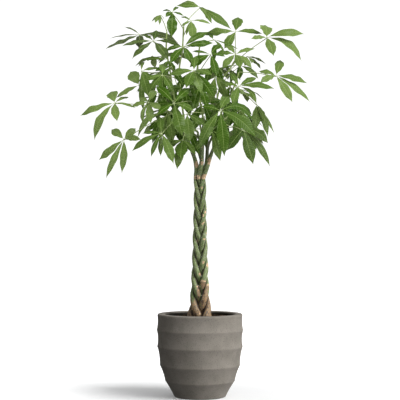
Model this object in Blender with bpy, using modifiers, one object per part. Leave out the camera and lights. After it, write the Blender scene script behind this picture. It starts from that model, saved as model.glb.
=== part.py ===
"""A potted money tree: a turned floor pot, its soil, five braided stems and ten leafy shoots.

Metres, +Z up, origin on the floor under the middle of the pot. The front looks along +Y.
"""

import math
import random
from collections import namedtuple

import bmesh
import bpy
from mathutils import Matrix, Vector
from mathutils.bvhtree import BVHTree

CM = 0.01
GAP = 0.0003
UP = Vector((0.0, 0.0, 1.0))

# Pot, outer profile from the lip down to the foot, with the soft ridges that divide its five bands
POT_HEIGHT = 0.370
POT_LIP_ROUND = 0.006
POT_LIP_INNER = 0.159
POT_LIP_OUTER = 0.191
POT_OUTER = (
    (POT_LIP_OUTER, POT_HEIGHT - POT_LIP_ROUND),
    (0.1905, 0.335),
    (0.1940, 0.298),
    (0.1885, 0.262),
    (0.1920, 0.224),
    (0.1835, 0.182),
    (0.1800, 0.141),
    (0.1665, 0.106),
    (0.1560, 0.071),
    (0.1345, 0.036),
    (0.1170, 0.004),
    (0.1120, 0.000),
)
POT_INNER = ((0.0, 0.030), (0.100, 0.030), (0.148, 0.140), (0.159, 0.240))
POT_STEPS = 28

# Soil
SOIL_EDGE = 0.348
SOIL_MIDDLE = 0.353
STEM_HOLE_TOP = 0.42

# Braid: five strands, 72 degrees apart on one closed path, which rises one turn in each pitch
STRANDS = 5
BRAID_PITCH = 0.435
BRAID_START_ANGLE = math.radians(90)
BRAID_START = 0.778
BRAID_TOP = 0.980
BRAID_EDGE = 0.05
BRAID_DEPTH = 1.00
BRAID_WIDTH_SHARE = 2.92
STRAND_SHARE = 0.41
STRAND_RADIUS_MOST = 0.0160
TRUNK_WIDTHS = (
    (0.250, 0.118),
    (0.358, 0.116),
    (0.400, 0.100),
    (0.430, 0.092),
    (0.475, 0.086),
    (0.565, 0.077),
    (0.655, 0.070),
    (0.745, 0.065),
    (0.880, 0.058),
    (1.100, 0.056),
)
STEM_FOOT = 0.265
STEM_STEP = 0.033
STEM_TOP_STEP = 0.046
STEM_END_RADIUS = 0.0070
STEM_RADII = ((0.980, 0.0080), (1.030, 0.0096), (1.085, 0.0088), (1.140, STEM_END_RADIUS))
FORK_RADIUS = 0.0054

# The eye that the front view is seen from: places below are as seen at the trunk's plane
EYE_HEIGHT = 0.75
EYE_DISTANCE = 5.0

# Stems above the braid: end point, and a fork's start share and end point, in cm as (across, up, behind)
Stem = namedtuple("Stem", "strand route fork")
STEMS = {
    "stem_1": Stem(4, ((-1.8, 104.5, -0.5), (-6.0, 117.5, -1.5)), ((-4.6, 112.0, 2.6), (-7.2, 119.0, 6.0))),
    "stem_2": Stem(3, ((0.7, 105.0, -3.0), (1.5, 118.5, -4.5)), ((0.4, 112.5, -7.2), (-1.0, 118.0, -10.5))),
    "stem_3": Stem(1, ((3.6, 104.5, -1.5), (7.0, 114.5, -1.5)), ((5.6, 110.5, -5.0), (7.4, 116.5, -9.0))),
    "stem_4": Stem(2, ((3.0, 105.0, 2.6), (3.4, 118.5, 4.5)), ((3.8, 112.5, 7.2), (6.2, 118.0, 10.5))),
    "stem_5": Stem(0, ((0.7, 105.0, 3.8), (0.6, 118.0, 7.0)), ((-1.6, 112.5, 8.6), (-5.0, 118.0, 12.5))),
}
FORK_START = 1.035

# Green shoots: each starts just above the named end of a stem and follows its points, in cm as above
Shoot = namedtuple("Shoot", "stem end route")
SHOOTS = {
    "shoot_tall": Shoot("stem_1", 0, ((-8.9, 137.5, -3), (-9.3, 148, -4), (-8, 156, -5), (-7.4, 167, -4))),
    "shoot_tall_left": Shoot("stem_1", 1, ((-12, 136, 4), (-13.6, 147, 3), (-15.2, 156, 2), (-15, 164.5, 1))),
    "shoot_low_left": Shoot("stem_2", 1, ((-6.5, 122, -13), (-12.5, 127, -14), (-18, 130, -13))),
    "shoot_front": Shoot("stem_2", 0, ((1, 128, -8), (-1, 137, -13), (-2, 144, -15))),
    "shoot_right": Shoot("stem_3", 0, ((9.5, 127, -3), (14, 136, -4), (16.2, 141.5, -5), (17.6, 146, -5))),
    "shoot_low_right": Shoot("stem_3", 1, ((9.5, 121.5, -13.5), (12.5, 126, -18))),
    "shoot_high_right": Shoot("stem_4", 0, ((7.5, 133, 5), (10, 143, 4), (13.5, 147.5, 4), (16.2, 152, 4))),
    "shoot_back_right": Shoot("stem_4", 1, ((10.5, 126, 14.5), (12.5, 135, 18), (14, 141, 20))),
    "shoot_back_left": Shoot("stem_5", 1, ((-9.5, 126, 17), (-12.5, 137, 20), (-14, 143, 21))),
    "shoot_back": Shoot("stem_5", 0, ((-2, 134, 10), (-1, 150, 11), (0, 159, 10))),
}
SHOOT_STEP = 0.045
SHOOT_RADIUS = 0.0048
SHOOT_TIP_RADIUS = 0.0034

# Leaves
BLADE_THICKNESS = 0.0009
BLADE_WIDTH_LEAST = 0.016
BLADE_WIDTH_SHARE = 0.16
BLADE_ARCH = 0.10
BLADE_FOLD = 0.20
BLADE_STATIONS = (0.30, 0.67)
BLADE_WIDEST = 1.25
PETIOLE_RADIUS = 0.0017
PETIOLE_BASE_RADIUS = 0.0026
HUB_DEPTH = 0.0040
HUB_RING = 0.0034
HUB_CLEAR = 0.018
CLEARANCE = 0.0008
FOLIAGE_FOOT = 0.93
SWING_STEP = math.radians(6)
SWING_MOST = 7
BOW_SHARES = (0.03, 0.0, 0.06, -0.03, 0.09, 0.12, -0.06, 0.15)

# Leaves seen in the front view. A row gives the shoot, the share of the shoot's length where the leaf stalk
# leaves it, the hub where the leaflets meet, the way the leaf faces, and the tip of each leaflet.
# Places are in cm as (across, up, behind), as seen from the front. A tip may be followed by its leaflet's
# width in cm, and by how far the leaflet bows to its right, as a share of its length.
Leaf = namedtuple("Leaf", "shoot share hub faces tips")
LEAVES = (
    Leaf("shoot_low_left", 0.95, (-38.5, 132, -7), (-0.2, -0.75, 0.6), (
        (-54.3, 126, -4, 4.2, -0.05), (-47.7, 115, -10, 3.9, 0.07), (-37.4, 123.5, -17),
        (-40.1, 137.2, 2, 5.4), (-31.8, 134.6, 0, 2.4), (-28.4, 129.6, -8, 1.4))),
    Leaf("shoot_low_left", 0.72, (-34.4, 115.5, -16), (-0.1, -0.8, 0.55), (
        (-45.7, 106, -14, 3.7, -0.03), (-42.5, 97.7, -19, 2.9, -0.04), (-35.3, 100, -22, 3.3, -0.05),
        (-40, 120, -9, 3.9), (-27.8, 118.6, -13, 3.7, 0.04), (-26.5, 115.3, -23, 3.0))),
    Leaf("shoot_tall_left", 0.80, (-21, 160, -3), (0.0, -0.6, 0.8), (
        (-35.6, 157.6, -3, 3.4, -0.10), (-31, 151.7, -8, 4.0, -0.05), (-14.2, 151.2, -12, 4.6),
        (-19.5, 165, 4, 3.0), (-27.0, 163.2, 1, 2.6), (-8.2, 157.4, -6, 3.4))),
    Leaf("shoot_tall_left", 0.93, (-27.2, 163, 8), (0.0, -0.55, 0.8), (
        (-35, 166.6, 14, 1.8), (-40.8, 161.2, 9, 2.0, -0.10), (-43.1, 156.4, 3, 4.0, -0.12),
        (-27.6, 156.4, -2, 4.0), (-10.2, 158.2, 5, 5.2, -0.03))),
    Leaf("shoot_tall_left", 1.0, (-18, 172, 0), (0.0, -0.8, 0.6), (
        (-22, 168.8, 2, 1.5), (-20.5, 168.2, -4, 1.5), (-18.4, 167.8, -4, 1.3), (-16.2, 169.8, 3, 1.3))),
    Leaf("shoot_tall", 0.97, (-12.6, 173.2, -6), (0.1, -0.8, 0.5), (
        (-17.2, 173.6, 0, 1.3), (-15.7, 170.9, -12, 2.4), (-13.0, 161.5, -11, 4.8), (-9.7, 175.4, 0, 1.8),
        (-7.2, 171.4, -9, 1.3))),
    Leaf("shoot_tall", 1.0, (0, 175.5, 2), (0.0, -0.85, 0.5), (
        (-10.8, 176.1, 2, 3.6, -0.03), (-8.6, 177.2, 9, 2.4), (2.9, 172.0, -6, 2.2),
        (5.4, 167.9, -2, 2.4, -0.03), (14.2, 165.4, 1, 4.6, 0.0))),
    Leaf("shoot_high_right", 1.0, (16, 164.3, 6), (0.1, -0.75, 0.6), (
        (17.3, 171, 14, 5.2), (1.7, 162.7, 5, 4.2, 0.03), (28.4, 163.2, 7, 3.4, 0.02), (11, 156.5, 1, 4.0))),
    Leaf("shoot_high_right", 0.90, (30.2, 161.7, -2), (0.1, -0.75, 0.6), (
        (29.5, 167.4, 7, 6.0), (47.3, 163.2, -1, 4.6, 0.02), (46.0, 150.8, -4, 5.0, -0.16),
        (33.3, 153.2, -9, 4.8), (23, 161, -7))),
    Leaf("shoot_right", 1.0, (34.3, 144.3, -8), (0.15, -0.75, 0.6), (
        (36.4, 151.5, 1, 4.2), (48.6, 140.9, -7, 4.2, 0.0), (49.8, 132.4, -9, 4.0, 0.0), (41.8, 132.2, -13),
        (26, 145.8, -5, 3.4), (27, 140.8, -15, 3.6))),
    Leaf("shoot_high_right", 0.97, (16, 154, -8), (0.0, -0.7, 0.7), (
        (11.8, 158, 0), (25, 156.6, -4), (6, 153.6, -7), (10, 147.5, -14), (18.4, 147.3, -17),
        (23.6, 147.6, -11))),
    Leaf("shoot_front", 0.95, (4.8, 154, -17), (0.0, -0.75, 0.65), (
        (9.4, 158.6, -10), (11.6, 153, -17, 2.4), (7.6, 143.5, -23), (-4.8, 148, -20, 4.6),
        (-3.8, 155.4, -14, 1.5))),
    Leaf("shoot_tall", 0.62, (-7.4, 157.5, -13), (0.1, -0.8, 0.6), (
        (4.2, 164.3, -9), (6.2, 159.2, -14, 4.0, 0.06), (-13.8, 149.7, -20), (-3.5, 149, -22),
        (-15.6, 155.7, -10))),
    Leaf("shoot_tall", 0.90, (-4.0, 169.3, -6), (0.0, -0.7, 0.7), (
        (-9.0, 171.0, 0, 1.4), (5.0, 167.7, -8, 1.8), (-3.0, 160.2, -11, 3.8), (-6.4, 162.4, -9, 1.5),
        (-8.6, 166.6, -9, 1.8))),
    Leaf("shoot_right", 0.62, (17.5, 139.5, -15), (0.1, -0.8, 0.6), (
        (25.7, 143.4, -10), (34, 138.2, -15, 4.4), (9.2, 141.0, -13), (25.6, 131.6, -18, 2.2, -0.14),
        (14.5, 130.5, -22), (13.2, 146.2, -11, 3.0))),
    Leaf("shoot_high_right", 0.62, (18, 149, 9), (0.0, -0.7, 0.7), (
        (6, 144, 9, 1.4), (18, 142.4, 2), (26.5, 142.8, 9))),
    Leaf("shoot_right", 0.80, (25.6, 131.4, 1), (0.3, -0.75, 0.5), (
        (29.6, 122.8, -5, 2.8), (33.6, 118, 1, 1.6, 0.04), (30.6, 116.6, -2, 3.6), (25.0, 120.2, -8, 4.4),
        (17.6, 136.4, -2, 1.7, 0.10))),
    Leaf("shoot_low_right", 0.80, (9, 128.6, -28), (0.0, -0.85, 0.5), (
        (14.2, 134.6, -19, 4.4), (24.6, 122.9, -23, 4.4, -0.24), (25.4, 116.4, -30, 5.6, -0.03),
        (11, 107.6, -32, 5.2), (-0.5, 111.8, -30, 4.6), (0.5, 130.5, -27))),
    Leaf("shoot_low_right", 0.60, (19.5, 120, -19), (0.15, -0.85, 0.5), (
        (30.8, 113.6, -22, 4.6, -0.14), (24.0, 104, -21, 5.4, 0.02), (31.6, 103.2, -17, 3.6, -0.02),
        (11.8, 110.2, -22, 4.2))),
    Leaf("shoot_front", 0.55, (-11.8, 131.8, -33), (0.0, -0.85, 0.5), (
        (-20.2, 139.6, -29), (-3.9, 138.8, -27), (-2.6, 128.2, -36), (-7.9, 116.6, -36, 5.0),
        (-19.8, 126.4, -36))),
    Leaf("shoot_tall", 0.50, (-17, 144.7, -22), (0.0, -0.8, 0.6), (
        (-25, 142.3, -22, 3.0, -0.08), (-23.1, 137.5, -24), (-16.8, 134.1, -26), (-12, 136.4, -26),
        (-16.3, 149.8, -13))),
    Leaf("shoot_front", 1.0, (-2.8, 146.6, -26), (0.0, -0.8, 0.6), (
        (-14.4, 144.7, -24, 4.2), (-6.4, 138.6, -32, 4.2), (0.6, 136.2, -31, 4.2), (6.4, 134.3, -27),
        (5.6, 144.6, -31), (-1.8, 151.6, -18))),
    Leaf("shoot_tall_left", 0.55, (-26.5, 146.5, -8), (-0.1, -0.75, 0.6), (
        (-25.5, 150.5, 1, 1.9), (-17.6, 147.7, -7, 2.4), (-23.2, 134.6, -11, 4.2), (-25.8, 128.2, -8, 2.6),
        (-22.4, 142.8, -9, 2.6))),
    Leaf("shoot_tall_left", 0.62, (-27.5, 140, -2), (-0.1, -0.8, 0.55), (
        (-31.6, 146.2, 2, 5.8), (-38.0, 134.2, -2, 3.2, -0.06), (-24.4, 136.2, -3, 2.4))),
    Leaf("shoot_low_left", 1.0, (-23.2, 132.3, -20), (0.0, -0.8, 0.6), (
        (-20.2, 137.6, -12), (-25.8, 122.4, -20, 2.0, 0.13), (-17.6, 128.6, -27), (-22.2, 122.6, -26),
        (-27.6, 134.3, -16), (-31.4, 129.9, -18, 3.0))),
    Leaf("shoot_low_left", 0.55, (-17.4, 118.3, -26), (-0.05, -0.8, 0.55), (
        (-26.3, 118.1, -25, 1.9), (-30.9, 109.9, -26, 3.2), (-22.2, 107.3, -29, 2.2),
        (-17.8, 107.8, -27, 2.2), (-11.9, 104.3, -28, 4.2), (-18.3, 126, -20))),
    Leaf("shoot_front", 0.35, (-6, 127, -24), (0.1, -0.85, 0.5), (
        (-4.6, 114, -28, 5.0), (-14, 122, -26), (2.5, 121.5, -26), (-0.5, 133, -17))),
    Leaf("shoot_low_left", 0.30, (-7.8, 115.3, -21), (0.0, -0.85, 0.5), (
        (-8.8, 106.6, -27, 5.4), (-10.4, 101.8, -23), (-1.8, 108.6, -24), (-16, 111.6, -21))),
    Leaf("shoot_low_right", 0.95, (5.3, 119.6, -21), (0.0, -0.85, 0.5), (
        (9.2, 105.5, -22), (-2.6, 110, -22), (14.5, 112.5, -20), (12.5, 125, -15))),
    Leaf("shoot_front", 0.85, (0, 140, -21), (0.0, -0.85, 0.5), (
        (-3.2, 129.5, -24), (3.4, 129.5, -25), (8.5, 138, -20), (-8.5, 141, -18))),
    Leaf("shoot_right", 0.35, (11.6, 134, -11), (0.1, -0.85, 0.5), (
        (17, 125, -7), (10.4, 120, -13), (4.6, 125, -12))),
    Leaf("shoot_front", 0.15, (2, 126, -14), (0.0, -0.85, 0.5), (
        (2.5, 111.5, -17), (-6.3, 117.6, -16), (8, 114, -15))),
    Leaf("shoot_low_left", 0.15, (-14.5, 128, -7), (-0.05, -0.85, 0.5), (
        (-18.5, 115.5, -9), (-12, 114, -10), (-28.3, 115.9, -8, 2.8, 0.15))),
    Leaf("shoot_tall", 0.38, (-7, 138, -15), (0.0, -0.85, 0.5), (
        (-12, 127.5, -17), (-4.4, 125.5, -18), (-14.5, 139, -14))),
    Leaf("shoot_high_right", 0.45, (6.8, 144, -9), (0.0, -0.85, 0.5), (
        (12.5, 133.5, -11), (4.5, 131.5, -12), (13.2, 139.2, -9))),
    Leaf("shoot_low_right", 0.35, (18, 129, -12), (0.1, -0.85, 0.5), (
        (15.5, 114.5, -14), (23.5, 117, -13), (10, 122, -12))),
    Leaf("shoot_tall_left", 0.30, (-19, 137, 2), (-0.1, -0.85, 0.5), (
        (-15, 126, 0), (-24, 127.5, 0), (-25, 136.5, 2))),
    Leaf("shoot_back", 0.30, (1.5, 132, 3), (0.0, -0.85, 0.5), (
        (-5, 120.5, 1), (6.5, 119.5, 1), (10, 133, 4), (-8.5, 134, 4))),
    Leaf("shoot_high_right", 0.25, (17.0, 131.5, 5), (0.1, -0.85, 0.5), (
        (20, 119.5, 4), (12.5, 120.5, 3), (23.5, 126.5, 6))),
    Leaf("shoot_tall_left", 0.15, (-17, 125.5, 5), (-0.1, -0.85, 0.5), (
        (-21.5, 113.5, 3), (-12.5, 113, 3), (-23.2, 119.4, 6))),
    Leaf("shoot_tall", 0.22, (-13, 148.5, -9), (0.0, -0.85, 0.5), (
        (-19.5, 139, -11), (-7.5, 139.5, -10), (-20.5, 146.4, -9))),
    Leaf("shoot_right", 0.18, (20.5, 121, -3), (0.15, -0.85, 0.5), (
        (25.5, 110.5, -5), (14.5, 112.5, -5), (27, 119.5, -4))),
    Leaf("shoot_front", 0.06, (-5, 120, -11), (-0.05, -0.85, 0.5), (
        (-8.5, 108.5, -12), (0, 108, -12.5), (-12.5, 118.5, -10))),
    Leaf("shoot_high_right", 0.75, (6.5, 150, 0), (0.0, -0.85, 0.5), (
        (2.5, 140.5, -2), (10.2, 140.2, -1), (6.0, 158.2, 4, 2.4))),
    Leaf("shoot_back", 0.42, (-4.5, 146, 4), (0.0, -0.85, 0.5), (
        (-11, 136, 3), (-2, 133.5, 2), (3.5, 145, 5))),
    Leaf("shoot_back_left", 0.50, (-11, 140, 12), (-0.1, -0.85, 0.5), (
        (-19, 132, 10), (-12, 127.5, 10), (-3.5, 131.5, 11))),
    Leaf("shoot_back_right", 0.55, (13.5, 140, 13), (0.1, -0.85, 0.5), (
        (16.6, 129.6, 11), (9.5, 128.5, 11), (15.2, 147, 15, 2.2))),
    Leaf("shoot_back_left", 0.25, (-11, 126, 11), (-0.1, -0.85, 0.5), (
        (-17.5, 116.5, 9), (-8.5, 113.5, 9), (-20, 127, 12))),
    Leaf("shoot_back_right", 0.25, (9.5, 126, 12), (0.1, -0.85, 0.5), (
        (12.6, 114.8, 10), (4.5, 114.5, 10), (18.5, 124.5, 13))),
    Leaf("shoot_tall", 0.10, (-11.5, 131, -6), (-0.05, -0.85, 0.5), (
        (-16, 120, -6), (-7.5, 119.5, -7), (-20, 131.5, -5))),
    Leaf("shoot_tall_left", 0.45, (-14.2, 151.4, -4), (0.0, -0.85, 0.5), (
        (-26.6, 151.4, -3, 1.8), (-17.5, 146.0, -7, 2.6), (-11.4, 145.5, -6, 2.6))),
    Leaf("shoot_tall", 0.80, (6.0, 160.8, 0), (0.0, -0.7, 0.7), (
        (17.6, 156.2, 1, 1.4, 0.06), (11.2, 154.8, -4, 1.6), (4.4, 164.0, 5, 2.4))),
)

# Leaves at the back and the sides, which hang by one rule: a hub, the way that the leaf points in degrees
# clockwise from the back, the length of its longest leaflet in cm, and the number of leaflets.
SideLeaf = namedtuple("SideLeaf", "shoot share hub heading reach leaflets")
SIDE_LEAVES = (
    SideLeaf("shoot_back", 1.0, (-11, 155, 22), 310, 12, 5),
    SideLeaf("shoot_back", 0.85, (-1, 137, 40), 0, 14, 6),
    SideLeaf("shoot_back", 0.70, (9, 148, 25), 50, 13, 6),
    SideLeaf("shoot_back_left", 1.0, (-18, 146, 21), 290, 13, 5),
    SideLeaf("shoot_back_left", 0.90, (-19, 135, 27), 290, 13, 6),
    SideLeaf("shoot_back_left", 0.75, (-9, 138, 40), 350, 18, 6),
    SideLeaf("shoot_back_left", 0.55, (-17, 123, 34), 330, 13, 6),
    SideLeaf("shoot_back_right", 1.0, (19, 138, 23), 75, 12, 5),
    SideLeaf("shoot_back_right", 0.85, (21, 126, 27), 75, 12, 5),
    SideLeaf("shoot_back_right", 0.75, (9, 132, 42), 5, 17, 6),
    SideLeaf("shoot_back_right", 0.50, (19, 120, 33), 35, 15, 6),
    SideLeaf("shoot_back", 0.45, (-8, 119, 32), 320, 13, 5),
    SideLeaf("shoot_right", 0.45, (18, 126, 14), 75, 12, 5),
    SideLeaf("shoot_tall_left", 0.40, (-17, 129, 13), 285, 10.5, 5),
    SideLeaf("shoot_tall_left", 0.75, (-21, 153, 11), 280, 11, 4),
    SideLeaf("shoot_high_right", 0.70, (21, 153, 13), 80, 11, 4),
    SideLeaf("shoot_back_left", 0.95, (-21, 141, 11), 275, 11, 4),
)
FAN_SPREAD = math.radians(56)
FAN_DROOP = 0.42
FAN_SIDE_SHARE = 0.72

# Colours
POT_GREY = (0.235, 0.218, 0.196, 1.0)
SOIL_BROWN = (0.035, 0.022, 0.014, 1.0)
BARK_GREEN = (0.105, 0.150, 0.060, 1.0)
LEAF_GREEN = (0.075, 0.170, 0.030, 1.0)


def clear_scene():
    for thing in list(bpy.data.objects):
        bpy.data.objects.remove(thing, do_unlink=True)


def new_collection(name, hidden=False):
    collection = bpy.data.collections.new(name)
    bpy.context.scene.collection.children.link(collection)
    collection.hide_render = hidden
    return collection


def make_material(name, colour, roughness):
    material = bpy.data.materials.new(name)
    material.use_nodes = True
    shader = material.node_tree.nodes["Principled BSDF"]
    shader.inputs["Base Color"].default_value = colour
    shader.inputs["Roughness"].default_value = roughness
    material.diffuse_color = colour
    return material


def mesh_object(name, vertices, faces, collection, material=None):
    mesh = bpy.data.meshes.new(name)
    mesh.from_pydata([tuple(v) for v in vertices], [], faces)
    mesh.validate()
    if material:
        mesh.materials.append(material)
    thing = bpy.data.objects.new(name, mesh)
    collection.objects.link(thing)
    return thing


def seen(place):
    """A place in cm as (across, up, behind), seen from the front, as a point in metres."""
    across, up, behind = (value * CM for value in place)
    grow = 1.0 + behind / EYE_DISTANCE
    return Vector((across * grow, behind, EYE_HEIGHT + (up - EYE_HEIGHT) * grow))


def between(table, height):
    """The value at a height, from a table of heights and values."""
    for (low, value), (high, value_above) in zip(table, table[1:]):
        if height <= high:
            share = max(0.0, (height - low) / (high - low))
            return value + share * (value_above - value)
    return table[-1][1]


def smooth_route(points, step):
    """Points about one step apart on a Catmull-Rom curve through the given points."""
    padded = [2 * points[0] - points[1], *points, 2 * points[-1] - points[-2]]
    route = []
    for before, start, end, after in zip(padded, padded[1:], padded[2:], padded[3:]):
        count = max(1, round((end - start).length / step))
        for index in range(count):
            t = index / count
            bend = (2 * before - 5 * start + 4 * end - after) * t * t
            twist = (3 * start - 3 * end + after - before) * t ** 3
            route.append(start + 0.5 * ((end - before) * t + bend + twist))
    route.append(points[-1])
    return route


def point_along(route, share):
    """The point at a share of the route's length."""
    lengths = [(b - a).length for a, b in zip(route, route[1:])]
    left = share * sum(lengths)
    for start, end, length in zip(route, route[1:], lengths):
        if left <= length:
            return start.lerp(end, left / length)
        left -= length
    return route[-1].copy()


def tube(name, route, radii, bevel_resolution, collection, material=None):
    """A closed mesh tube along a route, with a radius at each point."""
    curve = bpy.data.curves.new(name, "CURVE")
    curve.dimensions = "3D"
    curve.bevel_depth = 1.0
    curve.bevel_resolution = bevel_resolution
    curve.use_fill_caps = True
    spline = curve.splines.new("POLY")
    spline.points.add(len(route) - 1)
    for point, place, radius in zip(spline.points, route, radii):
        point.co = (*place, 1.0)
        point.radius = radius
    guide = bpy.data.objects.new(name + "_route", curve)
    collection.objects.link(guide)
    bpy.context.view_layer.update()
    mesh = bpy.data.meshes.new_from_object(guide.evaluated_get(bpy.context.evaluated_depsgraph_get()))
    bpy.data.objects.remove(guide, do_unlink=True)
    weld(mesh)
    mesh.name = name
    if material:
        mesh.materials.clear()
        mesh.materials.append(material)
    thing = bpy.data.objects.new(name, mesh)
    collection.objects.link(thing)
    return thing


def weld(mesh):
    """Welds a tube's caps to its side, and splits its faces alike on every tube of the same route."""
    form = bmesh.new()
    form.from_mesh(mesh)
    bmesh.ops.remove_doubles(form, verts=form.verts, dist=1e-6)
    bmesh.ops.triangulate(form, faces=form.faces, quad_method="FIXED")
    bmesh.ops.recalc_face_normals(form, faces=form.faces)
    form.to_mesh(mesh)
    form.free()


def fuse(base, helpers, solver):
    """Joins the base and every object of the helpers' collection into one body."""
    union = base.modifiers.new("Union", "BOOLEAN")
    union.operation = "UNION"
    union.operand_type = "COLLECTION"
    union.collection = helpers
    union.solver = solver
    bpy.context.view_layer.update()
    mesh = bpy.data.meshes.new_from_object(base.evaluated_get(bpy.context.evaluated_depsgraph_get()))
    base.modifiers.clear()
    old = base.data
    base.data = mesh
    mesh.name = base.name
    bpy.data.meshes.remove(old)
    for thing in list(helpers.objects):
        bpy.data.objects.remove(thing, do_unlink=True)
    bpy.data.collections.remove(helpers)


def turned(name, profile, collection, material):
    """A solid turned about Z from a profile of (radius, height) points."""
    points = [(radius, 0.0, height) for radius, height in profile]
    edges = [(i, i + 1) for i in range(len(points) - 1)]
    mesh = bpy.data.meshes.new(name)
    mesh.from_pydata(points, edges, [])
    mesh.materials.append(material)
    thing = bpy.data.objects.new(name, mesh)
    collection.objects.link(thing)
    screw = thing.modifiers.new("Turn", "SCREW")
    screw.axis = "Z"
    screw.steps = POT_STEPS
    screw.render_steps = POT_STEPS
    screw.use_merge_vertices = True
    screw.merge_threshold = 0.0001
    screw.use_smooth_shade = True
    return thing


def lip_points():
    """The rounded top of the pot's wall, from its inside to its outside."""
    points = []
    inner = POT_LIP_INNER + POT_LIP_ROUND
    outer = POT_LIP_OUTER - POT_LIP_ROUND
    for radius, first, last in ((inner, 180, 90), (outer, 90, 0)):
        for index in range(3):
            angle = math.radians(first + (last - first) * index / 2)
            height = POT_HEIGHT - POT_LIP_ROUND + POT_LIP_ROUND * math.sin(angle)
            points.append((radius + POT_LIP_ROUND * math.cos(angle), height))
    return points


def make_pot(collection, material):
    profile = [*POT_INNER, *lip_points(), *POT_OUTER[1:], (0.0, 0.0)]
    return turned("pot", profile, collection, material)


def soil_profile():
    side = [(radius - GAP, height + GAP) for radius, height in reversed(POT_INNER)]
    side[-1] = (0.0, side[-1][1])
    edge = POT_LIP_INNER - GAP
    return [(0.0, SOIL_MIDDLE), (edge * 0.5, SOIL_MIDDLE - 0.001), (edge, SOIL_EDGE), *side]


def braid_place(height, strand):
    """A strand's middle at a height: it swings from edge to edge, in front on its way down to the middle."""
    turn = BRAID_START_ANGLE + 2 * math.pi * ((height - BRAID_START) / BRAID_PITCH + strand / STRANDS)
    spread = between(TRUNK_WIDTHS, height) / BRAID_WIDTH_SHARE
    across = math.cos(turn) + BRAID_EDGE * math.cos(3 * turn)
    behind = BRAID_DEPTH * math.sin(2 * turn)
    return Vector((spread * across, spread * behind, height))


def strand_radius(height):
    if height < BRAID_TOP:
        return min(STRAND_RADIUS_MOST, STRAND_SHARE * between(TRUNK_WIDTHS, height) / BRAID_WIDTH_SHARE)
    return between(STEM_RADII, height)


def stem_route(stem):
    steps = round((BRAID_TOP - STEM_FOOT) / STEM_STEP)
    heights = [STEM_FOOT + (BRAID_TOP - STEM_FOOT) * i / steps for i in range(steps + 1)]
    braid = [braid_place(height, stem.strand) for height in heights]
    above = smooth_route([braid[-2], braid[-1], *map(seen, stem.route)], STEM_TOP_STEP)
    return braid[:-1] + above[1:]


def stem_ends(stem):
    """The two ends of a stem: its own, and its fork's, each with the way it points."""
    route = stem_route(stem)
    fork = fork_route(stem, route)
    return [(line[-1], (line[-1] - line[-2]).normalized()) for line in (route, fork)]


def fork_route(stem, route):
    start = next(place for place in route if place.z > FORK_START)
    return smooth_route([start, *map(seen, stem.fork)], STEM_TOP_STEP)


def make_stem(name, stem, collection, material):
    route = stem_route(stem)
    radii = [strand_radius(place.z) for place in route]
    thing = tube(name, route, radii, 2, collection, material)
    helpers = new_collection(name + "_fork", hidden=True)
    fork = fork_route(stem, route)
    tube(name + "_fork", fork, [FORK_RADIUS] * len(fork), 2, helpers)
    fuse(thing, helpers, "EXACT")
    return thing


def make_soil(collection, material):
    """The soil, with a plain hole for each stem."""
    soil = turned("soil", soil_profile(), collection, material)
    cutters = new_collection("soil_cutters", hidden=True)
    for name, stem in STEMS.items():
        route = [place for place in stem_route(stem) if place.z < STEM_HOLE_TOP]
        first = route[0] - (route[1] - route[0]).normalized() * GAP
        radii = [strand_radius(place.z) + GAP for place in route]
        cutter = tube(name + "_hole", [first, *route], [radii[0], *radii], 2, cutters)
        cutter.display_type = "WIRE"
    cut = soil.modifiers.new("Stem holes", "BOOLEAN")
    cut.operation = "DIFFERENCE"
    cut.operand_type = "COLLECTION"
    cut.collection = cutters
    return soil


def shoot_route(shoot):
    end, heading = stem_ends(STEMS[shoot.stem])[shoot.end]
    start = end + heading * GAP
    return [start] + smooth_route([start + heading * 0.012, *map(seen, shoot.route)], SHOOT_STEP)


def leaflet_frame(root, tip, faces):
    """The way a leaflet points, the way across it and the way that its upper side looks."""
    ahead = (tip - root).normalized()
    upper = faces - ahead * faces.dot(ahead)
    if upper.length < 0.2:
        upper = UP - ahead * UP.dot(ahead) + Vector((0.0, -0.3, 0.0))
    upper.normalize()
    across = ahead.cross(upper).normalized()
    return ahead, across, across.cross(ahead).normalized()


def half_width(share):
    """A leaflet's half width at a share of its length, from 0 at the stalk to 0 at the tip."""
    return math.sin(math.pi * share ** BLADE_WIDEST) ** 0.85


def leaflet_rows(leaflet, stations):
    """Left edge, middle and right edge of an arched, folded blade at each station, and its tip."""
    root, tip, faces, width, arch, sway = leaflet
    ahead, across, upper = leaflet_frame(root, tip, faces)
    length = (tip - root).length
    points = []
    for share in stations:
        bow = 4 * share * (1 - share) * length
        middle = root + ahead * (length * share) + (upper * arch + across * sway) * bow
        half = half_width(share) * width / 2
        edge = upper * (BLADE_FOLD * half)
        points += [middle - across * half + edge, middle, middle + across * half + edge]
    return [*points, tip.copy()]


def row_faces(first, rows):
    """Triangles between rows of three points, then out to the tip."""
    faces = []
    for row in range(rows - 1):
        a = first + 3 * row
        faces += [(a, a + 1, a + 4), (a, a + 4, a + 3), (a + 1, a + 2, a + 4), (a + 2, a + 5, a + 4)]
    last = first + 3 * rows
    return [*faces, (last - 3, last - 2, last), (last - 2, last - 1, last)]


def leaflet_surface(leaflet, stations, rooted=True):
    """The open middle surface of one leaflet, from its root or only from its first station."""
    points = leaflet_rows(leaflet, stations)
    if not rooted:
        return points, row_faces(0, len(stations))
    side = leaflet_frame(leaflet.root, leaflet.tip, leaflet.faces)[1] * HUB_RING
    root = [leaflet.root - side, leaflet.root + side]
    return [*root, *points], [(0, 3, 2), (0, 1, 3), (1, 4, 3), *row_faces(2, len(stations))]


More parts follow.
